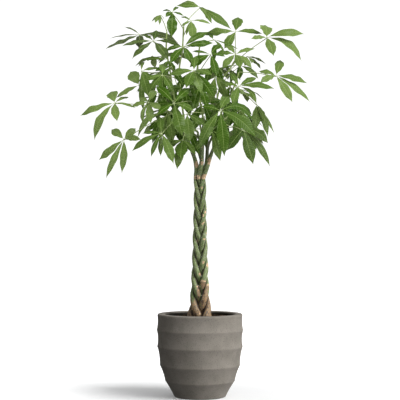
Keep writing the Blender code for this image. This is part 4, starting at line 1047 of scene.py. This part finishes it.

# Painted light and shade on single leaves.
# Leaves that are lighter or darker than their place in the crown makes them, by their place in the tables
LEAF_LIGHT_AND_SHADE = {
    0: 0.30, 1: 0.42, 2: -0.60, 3: -1.10, 5: -1.60, 6: -0.25, 7: -0.35, 8: 0.05, 9: 0.15, 10: 0.35,
    11: -0.50, 12: -0.45, 14: 0.30, 16: 0.35, 17: -0.25, 18: -0.45, 19: -0.50, 21: -0.15, 23: 0.40, 24: 0.75,
    25: -0.10, 26: 0.15, 27: 0.15, 29: -0.45, 30: -0.15, 32: 0.75, 33: -0.15, 34: 0.60, 35: -0.10, 41: -0.15,
    42: 0.20, 44: -0.20, 45: 0.20, 66: 0.50, 67: 0.90,
}
OLD_LEAVES = {2: 0.5, 3: 1.0, 18: 0.4}


def blade_half(share):
    """Half width of a blade at a share of its length: wedge foot, widest past the middle, drawn-out tip."""
    sharp = BLADE_ROUND + BLADE_SHARPENED * smooth_step(BLADE_SHARP_FROM, 1.0, share)
    return np.sin(np.pi * share ** BLADE_FULLEST) ** sharp


def crown_shading(place):
    """Painted shade across the crown: 0 deep in its core, where it is darkest, 1 at its outside."""
    reach = math.hypot(*(part / most for part, most in zip(place - CROWN_MIDDLE, CROWN_REACH)))
    return min(1.0, max(0.0, (reach - CROWN_CORE) / CROWN_RIM))


def waves(shares, chance, counts):
    """A sine along a leaflet, with a random count of waves and a random start."""
    return np.sin(2 * np.pi * (shares * chance.uniform(*counts) + chance.random()))


def leaflet_spine(leaflet, chance):
    """For each row: its share of the blade and of the length, half width, middle, way across and way up."""
    ahead, across, upper = (np.array(way) for way in leaflet_frame(leaflet.root, leaflet.tip, leaflet.faces))
    length = (leaflet.tip - leaflet.root).length
    blade = np.concatenate([np.zeros(len(PETIOLULE_ROWS)), np.linspace(*LEAF_ENDS, LEAF_ROWS)])
    along = PETIOLULE_SHARE + blade * (1 - PETIOLULE_SHARE)
    along[:len(PETIOLULE_ROWS)] *= PETIOLULE_ROWS
    half = blade_half(blade) * leaflet.width / 2
    half *= 1 + chance.uniform(*EDGE_WAVE) * waves(blade, chance, EDGE_WAVES)
    sway = (leaflet.sway + chance.uniform(-LEAF_SWAY, LEAF_SWAY)) * length * np.sin(np.pi * along)
    lift = 4 * along * (1 - along) * leaflet.arch * length
    bend = np.outer(along * length, ahead) + np.outer(lift, upper) + np.outer(sway, across)
    twist = chance.uniform(-LEAF_TWIST, LEAF_TWIST) * along
    side = np.outer(np.cos(twist), across) + np.outer(np.sin(twist), upper)
    up = np.outer(np.cos(twist), upper) - np.outer(np.sin(twist), across)
    return blade, along, half, np.array(leaflet.root) + bend, side, up


def leaflet_section(leaflet, chance, blade, along, half):
    """For each row, how far its points lie to the side, and up on the upper and on the under face."""
    columns = np.array(LEAF_COLUMNS)
    size = chance.uniform(*FLUTTER) * leaflet.width
    right, left = (waves(along, chance, FLUTTER_WAVES) for _ in range(2))
    flutter = np.where(columns > 0, right, left) * size * columns ** 2 * blade * (1 - blade) * 4
    rise = half * (LEAF_FOLD * abs(columns) - LEAF_CURL * columns ** 2) + flutter
    rib = (columns == 0) * (1 - RIB_THINS * along)
    body = LEAF_BODY / 2 * (1 - columns ** 2)
    stem = np.clip(1 - blade / PETIOLULE_END, 0, 1)
    wide = half * columns
    round_wide, round_up = (PETIOLULE_RADIUS * wave(np.pi / 2 * columns) for wave in (np.sin, np.cos))
    wide = wide * (1 - stem) + np.sign(columns) * np.maximum(abs(wide), abs(round_wide)) * stem
    top = (rise + body - RIB_SUNK * rib) * (1 - stem) + round_up * stem
    under = (rise - body - RIB_RAISED * rib) * (1 - stem) - round_up * stem
    return wide, top, under


def leaflet_mesh(leaflet, chance):
    """A leaflet as one closed loft: a short round stalk that widens into a thin, waved blade."""
    blade, along, half, middle, side, up = (rows[:, None] for rows in leaflet_spine(leaflet, chance))
    wide, top, under = leaflet_section(leaflet, chance, blade, along, half)
    above, below = (middle + side * wide[..., None] + up * high[..., None] for high in (top, under))
    loops = np.concatenate([above, below[:, -2:0:-1]], axis=1)
    rows, around = loops.shape[:2]
    stalk_rows = len(PETIOLULE_ROWS)
    last = len(LEAF_COLUMNS) - 1
    blade_slots = [0] * last + [1] * (around - last)
    slots = [2] * (stalk_rows * around) + blade_slots * (rows - stalk_rows - 1) + [2, 1]
    flat = np.array([*LEAF_COLUMNS, *LEAF_COLUMNS[-2:0:-1]])
    length = (leaflet.tip - leaflet.root).length
    place = np.stack(np.broadcast_arrays(flat * half, blade * length, blade), -1)
    rims = np.zeros((rows, around), int)
    rims[stalk_rows:, 0] = 1
    rims[stalk_rows:, last] = 2
    return loops.reshape(-1, 3), loop_faces(rows, around), slots, place.reshape(-1, 3), rims.ravel()


def add_stalk(pile, line, radii, sides, tint):
    points, faces, angles, along, _ = round_tube(line, radii, sides)
    pile.add(points, faces, 2, bark_place(angles, along, radii[:, None]), tint)


def add_leaf(pile, leaf, seed):
    """Blades, hub and stalk of one leaf."""
    hub, faces, leaflets, stalk = leaf[1:]
    chance = random.Random(LEAF_SEED + seed)
    tone = crown_shading(hub)
    leaf_shade = chance.uniform(-LEAF_SPREAD, LEAF_SPREAD)
    for leaflet in leaflets:
        points, leaf_faces, slots, place, rims = leaflet_mesh(leaflet, chance)
        # Painted shade in the crown's core, and painted light and shade on single leaves
        nearby = (tone + crown_shading((leaflet.root + leaflet.tip) / 2)) / 2
        level = nearby + leaf_shade + LEAF_LIGHT_AND_SHADE.get(seed, 0.0)
        least, most = LEAF_LEVELS
        tint = (min(most, max(least, level)), chance.random(), -1.0 - OLD_LEAVES.get(seed, 0.0))
        pile.add(points, leaf_faces, slots, place, tint, rims)
    line = smooth_route([*reversed(stalk), hub + faces * HUB_TOP], STALK_STEP)
    lengths = line_lengths(line)
    swells = zip(STALK_SWELLS, (lengths, lengths[-1] - lengths))
    radii = STALK_RADIUS + sum(swell * np.exp(-away / reach) for (swell, reach), away in swells)
    radii[-1] = STALK_END_RADIUS
    add_stalk(pile, line, radii, STALK_SIDES, (tone, chance.random(), 0.0))


def make_fine_shoot(name, route, leaves, materials):
    pile = Pile()
    line = smooth_route(route, STALK_STEP)
    radii = np.linspace(SHOOT_RADIUS, SHOOT_TIP_RADIUS, len(line))
    radii *= 1 + SHOOT_LUMPS[0] * rough(line, SHOOT_LUMPS[1], len(name))
    radii[-1] = SHOOT_END_RADIUS
    add_stalk(pile, line, radii, SHOOT_SIDES, SHOOT_TINT)
    for seed, leaf in leaves:
        add_leaf(pile, leaf, seed)
    pile.build(name + "_leaves", materials, name)


# Pot and soil

def turned_mesh(profile, around):
    """A closed solid turned about Z: both ends of the profile lie on the axis."""
    angles = 2 * np.pi * np.arange(around) / around
    inner = np.array(profile[1:-1])
    radius, height = inner.T[..., None]
    places = np.broadcast_arrays(radius * np.cos(angles), radius * np.sin(angles), height)
    rings = np.stack(places, -1).reshape(-1, 3)
    points = np.vstack([rings, [[0, 0, profile[0][1]], [0, 0, profile[-1][1]]]])
    faces = loop_faces(len(inner), around)[:-2]
    top = len(points) - 2
    last = (len(inner) - 1) * around
    for step in range(around):
        after = (step + 1) % around
        faces.append((top, after, step))
        faces.append((top + 1, last + step, last + after))
    return points, faces


def fine_pot_profile():
    """From the middle of the inside's floor, over the lip and down the ridged outside to the foot."""
    lip = POT_HEIGHT - POT_LIP_ROUND
    profile = [*POT_FLOOR]
    for (low_radius, low), (radius, height) in zip(POT_INNER[1:], (*POT_INNER[2:], (POT_LIP_INNER, lip))):
        for t in POT_WALL_STEPS:
            profile.append((low_radius + (radius - low_radius) * t, low + (height - low) * t))
    for middle, first in ((POT_LIP_INNER + POT_LIP_ROUND, 180), (POT_LIP_OUTER - POT_LIP_ROUND, 90)):
        for index in range(POT_LIP_POINTS):
            angle = math.radians(first - 90 * index / (POT_LIP_POINTS - 1))
            profile.append((middle + POT_LIP_ROUND * math.cos(angle), lip + POT_LIP_ROUND * math.sin(angle)))
    for (radius, height), (low_radius, low), hollow in zip(POT_RIDGES, POT_RIDGES[1:], POT_HOLLOWS):
        for index in range(1, POT_BAND_POINTS + 1):
            t = index / POT_BAND_POINTS
            depth = hollow * 4 * t * (1 - t)
            profile.append((radius + (low_radius - radius) * t - depth, height + (low - height) * t))
    return [*profile, *POT_FOOT]


def make_fine_pot(material):
    pile = Pile()
    points, faces = turned_mesh(fine_pot_profile(), POT_SIDES)
    radius = np.hypot(points[:, 0], points[:, 1])
    out = points.copy()
    out[:, 2] = 0
    out /= np.maximum(radius, 1e-6)[:, None]
    outside = (points[:, 2] > POT_FOOT_PLAIN) & (radius > POT_LIP_INNER)
    points = points + out * (layered_noise(points, POT_UNEVEN) * outside)[:, None]
    pile.add(points, faces, 0, points, NO_TINT)
    pile.build("pot_shell", [material], "pot")


def make_fine_soil(material):
    pile = Pile()
    edge = POT_LIP_INNER - GAP
    shares = [ring / SOIL_RINGS for ring in range(SOIL_RINGS + 1)]
    top = [(edge * share, SOIL_MIDDLE + (SOIL_EDGE - SOIL_MIDDLE) * share ** 3) for share in shares]
    side = [(radius - GAP, height + GAP) for radius, height in reversed(POT_INNER)]
    points, faces = turned_mesh([*top, *side[:-1], (0.0, side[-1][1])], SOIL_SIDES)
    radius = np.hypot(points[:, 0], points[:, 1])
    inside = 1 - smooth_step(edge - SOIL_RIM, edge - SOIL_RIM / 8, radius)
    points[:, 2] += layered_noise(points, SOIL_CLODS) * inside * (points[:, 2] > SOIL_EDGE - SOIL_TOP_DEPTH)
    pile.add(points, faces, 0, points, NO_TINT)
    chance = random.Random(SOIL_SEED)
    form = crumb_form()
    for _ in range(SOIL_CRUMBS):
        add_crumb(pile, form, chance, edge)
    pile.build("soil_bed", [material], "soil")


def add_crumb(pile, form, chance, edge):
    """A crumb of bark or earth, half sunk in the soil."""
    angle = chance.uniform(0, 2 * math.pi)
    far = math.sqrt(chance.uniform(*CRUMB_AREA)) * (edge - CRUMB_CLEAR)
    size = chance.uniform(*CRUMB_SIZES)
    middle = np.array((far * math.cos(angle), far * math.sin(angle), SOIL_MIDDLE + size * CRUMB_RISE))
    turn = Matrix.Rotation(chance.uniform(*CRUMB_TURNS), 3, Vector((chance.random(), chance.random(), 1)))
    stretch = np.array([chance.uniform(*span) for span in CRUMB_STRETCH]) * size
    points, faces = form
    points = points * np.array([chance.uniform(*CRUMB_ROUGH) for _ in points])[:, None]
    pile.add((points * stretch) @ np.array(turn).T + middle, faces, 0, points, (chance.random(), 1.0, 0.0))


def crumb_form():
    golden = (1 + 5 ** 0.5) / 2
    points = []
    for one in (-1, 1):
        for other in (-golden, golden):
            points += [(0, one, other), (one, other, 0), (other, 0, one)]
    points = np.array(points) / math.hypot(1, golden)
    hull = bmesh.new()
    for point in points:
        hull.verts.new(point)
    bmesh.ops.convex_hull(hull, input=hull.verts)
    hull.verts.index_update()
    bmesh.ops.recalc_face_normals(hull, faces=hull.faces)
    faces = [tuple(vert.index for vert in face.verts) for face in hull.faces]
    points = np.array([tuple(vert.co) for vert in hull.verts])
    hull.free()
    return points, faces


# Materials. A noise call gives scale, detail and roughness, and last the stretch along a stem. A ramp gives
# the span of its value, and then what it is at the span's start and end, 0 and 1 if left out.

class Nodes:
    """Short calls to build the nodes of a material or a world."""

    def __init__(self, owner, shader="Principled BSDF"):
        owner.use_nodes = True
        self.owner = owner
        self.tree = owner.node_tree
        self.shader = self.tree.nodes[shader]

    def feed(self, node, values):
        """Join each value to the node's input of that name or number, or set it there."""
        for label, value in values.items():
            if isinstance(value, bpy.types.NodeSocket):
                self.tree.links.new(value, node.inputs[label])
            else:
                node.inputs[label].default_value = value

    def add(self, kind, values, **settings):
        """The outputs of a new node."""
        node = self.tree.nodes.new("ShaderNode" + kind)
        for key, value in settings.items():
            setattr(node, key, value)
        self.feed(node, values)
        return node.outputs

    def math(self, operation, *values, clamp=False):
        return self.add("Math", dict(enumerate(values)), operation=operation, use_clamp=clamp)[0]

    def ramp(self, value, low, high, out_low=0.0, out_high=1.0, kind="SMOOTHSTEP"):
        values = dict(enumerate((value, low, high, out_low, out_high)))
        return self.add("MapRange", values, interpolation_type=kind)[0]

    def mix(self, share, first, second):
        return self.add("Mix", {0: share, 6: first, 7: second}, data_type="RGBA")[2]

    def over(self, colour, other, value, *span):
        """The colour with another laid over it, as far as a ramp of the value says."""
        return self.mix(self.ramp(value, *span), colour, other)

    def noise(self, vector, scale, detail, roughness, stretch=None):
        if stretch:
            vector = self.add("Mapping", {"Vector": vector, "Scale": (1.0, 1.0, stretch)})[0]
        values = {"Vector": vector, "Scale": scale, "Detail": detail, "Roughness": roughness}
        return self.add("TexNoise", values)[0]

    def value_of(self, label):
        return self.add("Attribute", {}, attribute_name=label)["Vector"]

    def parts(self, vector):
        return self.add("SeparateXYZ", {0: vector})

    def position(self, kind="Object"):
        return self.add("TexCoord", {})[kind]

    def bump(self, height, distance, strength, under=None):
        values = {"Height": height, "Distance": distance, "Strength": strength}
        return self.add("Bump", {**values, "Normal": under} if under else values)[0]

    def finish(self, colour, roughness, normal, specular):
        values = {"Base Color": colour, "Roughness": roughness, "Normal": normal}
        self.feed(self.shader, {**values, "Specular IOR Level": specular})
        return self.owner


def rgb(red, green, blue):
    return (red, green, blue, 1.0)


# Floor, and the colour of the world's light
FLOOR_LOOK = {
    "Base Color": rgb(0.90, 0.90, 0.90),
    "Roughness": 0.9,
    "Specular IOR Level": 0.0,
    "Emission Color": rgb(1.0, 1.0, 0.99),
}
WORLD_COLOUR = rgb(0.97, 0.98, 1.0)


# Colours of the materials, where the pot's inner wall has painted shade, and how far the side veins lie apart
POT_DARK = rgb(0.210, 0.189, 0.159)
POT_LIGHT = rgb(0.262, 0.237, 0.203)
POT_GRAIN_LIGHT = rgb(0.42, 0.39, 0.35)
POT_GRAIN_DARK = rgb(0.060, 0.050, 0.042)
POT_INNER_SHADE = rgb(0.020, 0.019, 0.012)
INNER_SHADE_OUTER = 0.1625
INNER_SHADE_FOOT = (0.300, 0.301)
INNER_SHADE_TOP = (0.355, 0.367)
SOIL_DARK = rgb(0.012, 0.008, 0.005)
SOIL_LIGHT = rgb(0.032, 0.022, 0.013)
SOIL_CRUMB = rgb(0.160, 0.095, 0.050)
BARK_DARK = rgb(0.114, 0.164, 0.047)
BARK_MIDDLE = rgb(0.208, 0.286, 0.094)
BARK_PALE = rgb(0.430, 0.500, 0.255)
BARK_BROWN = rgb(0.075, 0.048, 0.030)
BARK_GREY = rgb(0.172, 0.153, 0.130)
BARK_FLECK = rgb(0.330, 0.310, 0.300)
BARK_TAN = rgb(0.400, 0.256, 0.126)
SCAR_TAN = rgb(0.840, 0.610, 0.370)
CREASE_SHADE_BROWN = rgb(0.030, 0.020, 0.013)
SCAR_BROWN = rgb(0.450, 0.280, 0.160)
# Leaves run from deep to bright colour with a level of painted shade and light, and random tone
LEAF_DEEP = rgb(0.040, 0.100, 0.002)
LEAF_BRIGHT = rgb(0.180, 0.270, 0.066)
LEAF_RIB = rgb(0.300, 0.400, 0.120)
UNDER_DEEP = rgb(0.110, 0.190, 0.040)
UNDER_BRIGHT = rgb(0.340, 0.440, 0.170)
UNDER_RIB = rgb(0.400, 0.500, 0.220)
LEAF_OLD = rgb(0.085, 0.088, 0.052)
LEAF_SHEEN = rgb(0.250, 0.335, 0.165)
LEAF_TIP = rgb(0.120, 0.070, 0.050)
STALK_WHITE = rgb(0.720, 0.780, 0.520)
STALK_GREEN = rgb(0.300, 0.410, 0.110)
STALK_LIGHT = rgb(0.500, 0.580, 0.270)
SHOOT_GREEN = rgb(0.270, 0.380, 0.085)
VEIN_STEP = 0.0115
VEIN_WIDTH = 0.0011


def new_material(name):
    return Nodes(bpy.data.materials.new(name))


def pot_material():
    """Matt cast stone: warm grey with fine light and dark grains, faint clouds and painted shade on its inner
    wall.
    """
    n = new_material("pot_stone")
    place = n.position()
    x, y, height = n.parts(place)
    away = n.math("SQRT", n.math("MULTIPLY_ADD", x, x, n.math("MULTIPLY", y, y)))
    # Painted shade on the inner wall, from below the soil up to the lip
    inside = n.math("MULTIPLY", n.ramp(away, POT_LIP_INNER, INNER_SHADE_OUTER, 1.0, 0.0), n.ramp(height, *INNER_SHADE_FOOT))
    inside = n.math("MULTIPLY", inside, n.ramp(height, *INNER_SHADE_TOP, 0.92, 0.0))
    clouds = n.noise(place, 14.0, 4.0, 0.6)
    grain = n.noise(place, 520.0, 2.0, 0.7)
    specks = n.noise(place, 270.0, 1.0, 0.5)
    colour = n.mix(n.ramp(clouds, 0.3, 0.7), POT_DARK, POT_LIGHT)
    colour = n.over(colour, POT_GRAIN_LIGHT, grain, 0.50, 0.80, 0.0, 0.42)
    colour = n.over(colour, POT_GRAIN_DARK, specks, 0.58, 0.72, 0.0, 0.45)
    colour = n.mix(inside, colour, POT_INNER_SHADE)
    normal = n.bump(grain, 0.0004, 0.55, n.bump(specks, 0.0006, 0.35))
    return n.finish(colour, n.ramp(grain, 0.3, 0.7, 0.72, 0.90), normal, 0.35)


def soil_material():
    n = new_material("soil_earth")
    place = n.position()
    clods = n.noise(place, 160.0, 5.0, 0.65)
    grain = n.noise(place, 900.0, 3.0, 0.6)
    tint = n.parts(n.value_of("surface_tint"))
    colour = n.mix(n.ramp(clods, 0.35, 0.65), SOIL_DARK, SOIL_LIGHT)
    crumb = n.mix(tint[0], SOIL_DARK, SOIL_CRUMB)
    colour = n.mix(n.math("MULTIPLY", tint[1], 0.8), colour, crumb)
    normal = n.bump(grain, 0.0008, 0.7, n.bump(clods, 0.002, 0.6))
    return n.finish(colour, n.ramp(clods, 0.3, 0.7, 0.85, 1.0), normal, 0.3)


def bark_material():
    """Green bark with pale streaks along it, tan scars, a brown, weathered foot and painted crease shade."""
    n = new_material("bark_green")
    place = n.value_of("surface_place")
    tint = n.parts(n.value_of("surface_tint"))
    streaks = n.noise(place, 520.0, 3.0, 0.6, 0.10)
    broad = n.noise(place, 90.0, 3.0, 0.6, 0.25)
    flecks = n.noise(place, 600.0, 2.0, 0.6)
    spots = n.noise(place, 230.0, 1.0, 0.5)
    blots = n.noise(place, 120.0, 3.0, 0.7, 0.6)
    colour = n.mix(n.ramp(broad, 0.35, 0.65), BARK_DARK, BARK_MIDDLE)
    colour = n.over(colour, BARK_PALE, streaks, 0.50, 0.64, 0.0, 0.80)
    colour = n.over(colour, BARK_FLECK, spots, 0.57, 0.64, 0.0, 0.62)
    colour = n.over(colour, BARK_BROWN, spots, 0.34, 0.41, 0.50, 0.0)
    brown = n.mix(n.ramp(spots, 0.50, 0.58), BARK_TAN, BARK_GREY)
    brown = n.over(brown, BARK_BROWN, blots, 0.52, 0.62, 0.0, 0.85)
    foot = n.math("ADD", tint[1], n.math("MULTIPLY", n.math("SUBTRACT", spots, 0.5), 1.2))
    colour = n.over(colour, brown, foot, 0.35, 0.60)
    scar = n.mix(n.ramp(flecks, 0.35, 0.7), SCAR_TAN, SCAR_BROWN)
    colour = n.over(colour, scar, tint[0], 0.15, 0.6)
    # Painted shade: dark brown in the creases, on sides turned into the braid and on shaded stems
    crease_shade = n.math("MULTIPLY_ADD", n.math("SUBTRACT", broad, 0.5), 0.5, tint[2])
    colour = n.over(colour, CREASE_SHADE_BROWN, crease_shade, 0.15, 0.88, 0.0, 0.96)
    normal = n.bump(streaks, 0.0010, 0.6, n.bump(flecks, 0.0006, 0.5))
    return n.finish(colour, n.ramp(streaks, 0.3, 0.7, 0.55, 0.75), normal, 0.4)


def vein_lines(n, place):
    """0 on the blade, 1 on its side veins, and the same for the midrib."""
    across, along, share = n.parts(place)
    away = n.math("ABSOLUTE", across)
    phase = n.math("MULTIPLY_ADD", away, -0.55, along)
    ripple = n.math("PINGPONG", n.math("ADD", phase, 1.0), VEIN_STEP / 2)
    veins = n.ramp(ripple, 0.0, VEIN_WIDTH, 1.0, 0.0)
    rib_width = n.math("MULTIPLY_ADD", share, -0.0007, 0.0015)
    rib = n.ramp(n.math("DIVIDE", away, rib_width), 0.4, 1.0, 1.0, 0.0)
    return veins, rib, ripple, share


def leaf_material(name, deep, bright, rib_colour, vein_share, sheen_share, roughness, specular):
    n = new_material(name)
    place = n.value_of("surface_place")
    tint = n.parts(n.value_of("surface_tint"))
    veins, rib, ripple, share = vein_lines(n, place)
    spot = n.position()
    patches = n.noise(spot, 38.0, 3.0, 0.6)
    fine = n.noise(spot, 420.0, 2.0, 0.6)
    # The level holds painted shade and light from the crown and from single leaves, and random tone
    level = n.math("MULTIPLY_ADD", n.math("SUBTRACT", patches, 0.5), 0.3, tint[0])
    level = n.math("MULTIPLY_ADD", n.math("SUBTRACT", tint[1], 0.5), 0.60, level, clamp=True)
    colour = n.mix(level, deep, bright)
    colour = n.over(colour, LEAF_OLD, tint[2], -2.0, -1.0, 0.6, 0.0)
    # Painted sheen: a pale, greyish reflection painted into the colour in patches on some leaflets
    sheen = n.math("MULTIPLY", n.ramp(patches, 0.50, 0.68), n.ramp(tint[1], 0.40, 0.85, 0.0, sheen_share))
    colour = n.mix(sheen, colour, LEAF_SHEEN)
    colour = n.over(colour, rib_colour, fine, 0.45, 0.75, 0.0, 0.08)
    colour = n.mix(n.math("MULTIPLY", veins, vein_share), colour, rib_colour)
    colour = n.mix(n.math("MULTIPLY", rib, 0.75), colour, rib_colour)
    colour = n.over(colour, LEAF_TIP, share, 0.95, 1.0, 0.0, 0.6)
    pillow = n.ramp(ripple, 0.0, VEIN_STEP / 2)
    normal = n.bump(pillow, 0.0008, 0.75, n.bump(fine, 0.0003, 0.3))
    return n.finish(colour, n.ramp(fine, 0.3, 0.7, roughness - 0.05, roughness + 0.08), normal, specular)


def stalk_material():
    n = new_material("leaf_stalk")
    place = n.value_of("surface_place")
    tint = n.parts(n.value_of("surface_tint"))
    streaks = n.noise(place, 700.0, 2.0, 0.6, 0.12)
    colour = n.mix(n.ramp(streaks, 0.35, 0.65), STALK_GREEN, STALK_LIGHT)
    colour = n.over(colour, SHOOT_GREEN, tint[2], 0.0, 1.0, 0.0, 0.55)
    colour = n.over(colour, STALK_WHITE, tint[2], -1.0, 0.0, 0.4, 0.0)
    return n.finish(colour, n.ramp(streaks, 0.3, 0.7, 0.42, 0.58), n.bump(streaks, 0.0004, 0.4), 0.45)


# Stage

def make_stage():
    mesh = bpy.data.meshes.new("floor")
    corners = [(x * FLOOR_HALF, y * FLOOR_HALF, FLOOR_TOP) for x, y in ((-1, -1), (1, -1), (1, 1), (-1, 1))]
    mesh.from_pydata(corners, [], [(0, 1, 2, 3)])
    floor = bpy.data.objects.new("floor", mesh)
    n = new_material("floor_white")
    away = n.add("VectorMath", {0: n.position()}, operation="LENGTH")["Value"]
    # Painted shadow: the floor's glow drops near the pot
    n.feed(n.shader, {**FLOOR_LOOK, "Emission Strength": n.ramp(away, *FLOOR_GLOW_AND_SHADOW)})
    mesh.materials.append(n.owner)
    bpy.context.scene.collection.objects.link(floor)
    floor.visible_diffuse = False
    floor.visible_glossy = False


def make_lamp(name, kind, place, back, **settings):
    """A lamp at a place, where back is the way from what it lights to the lamp."""
    light = bpy.data.lights.new(name, kind)
    for key, value in settings.items():
        setattr(light, key, value)
    lamp = bpy.data.objects.new(name, light)
    lamp.location = place
    lamp.rotation_euler = back.to_track_quat("Z", "Y").to_euler()
    bpy.context.scene.collection.objects.link(lamp)


def make_lamps():
    """A far, wide sun, so that pot and crown get the same light, and soft spots that fill its shadows."""
    sun = Vector(SUN_TOWARDS)
    make_lamp("key", "SUN", sun * SUN_AWAY, sun, energy=SUN_STRENGTH, angle=SUN_SOFTNESS)
    for name, (place, target, power, cone) in FILLS.items():
        make_lamp(name, "SPOT", place, Vector(place) - Vector(target), energy=power,
                  spot_size=math.radians(cone), spot_blend=FILL_BLEND, shadow_soft_size=FILL_SIZE)


def make_world():
    """White to the camera; as light, brighter on the right and above than on the left."""
    world = bpy.data.worlds.new("studio")
    n = Nodes(world, "Background")
    n.feed(n.shader, {"Color": rgb(1.0, 1.0, 1.0), "Strength": BACKDROP})
    lean = n.add("VectorMath", {0: n.position("Generated"), 1: WORLD_LEAN}, operation="DOT_PRODUCT")["Value"]
    level = n.ramp(lean, -1.0, 1.0, WORLD_LOW, WORLD_HIGH, kind="LINEAR")
    soft = n.add("Background", {"Color": WORLD_COLOUR, "Strength": level})[0]
    camera = n.add("LightPath", {})["Is Camera Ray"]
    mix = n.add("MixShader", {0: camera, 1: soft, 2: n.shader.outputs[0]})[0]
    n.feed(n.tree.nodes["World Output"], {"Surface": mix})
    bpy.context.scene.world = world


def make_camera():
    lens = bpy.data.cameras.new("camera")
    lens.lens = CAMERA_LENS
    lens.sensor_width = SENSOR_WIDTH
    camera = bpy.data.objects.new("camera", lens)
    camera.location = CAMERA_PLACE
    aim = Vector(CAMERA_TARGET) - Vector(CAMERA_PLACE)
    camera.rotation_euler = aim.to_track_quat("-Z", "Y").to_euler()
    bpy.context.scene.collection.objects.link(camera)
    bpy.context.scene.camera = camera
    bpy.context.scene.view_settings.view_transform = "Standard"


def main():
    make_camera()
    make_world()
    make_stage()
    make_lamps()
    make_fine_pot(pot_material())
    make_fine_soil(soil_material())
    bark = bark_material()
    for number, (name, stem) in enumerate(STEMS.items()):
        make_fine_stem(number, name, stem, bark)
    upper = leaf_material("leaf_upper", LEAF_DEEP, LEAF_BRIGHT, LEAF_RIB,
                          vein_share=0.24, sheen_share=0.42, roughness=0.40, specular=0.10)
    under = leaf_material("leaf_under", UNDER_DEEP, UNDER_BRIGHT, UNDER_RIB,
                          vein_share=0.30, sheen_share=0.10, roughness=0.60, specular=0.08)
    stalk = stalk_material()
    routes, planned = plan_foliage()
    for name, route in routes.items():
        leaves = [(seed, leaf) for seed, leaf in enumerate(planned) if leaf[0] == name]
        make_fine_shoot("shoot_" + name, route, leaves, [upper, under, stalk])


main()
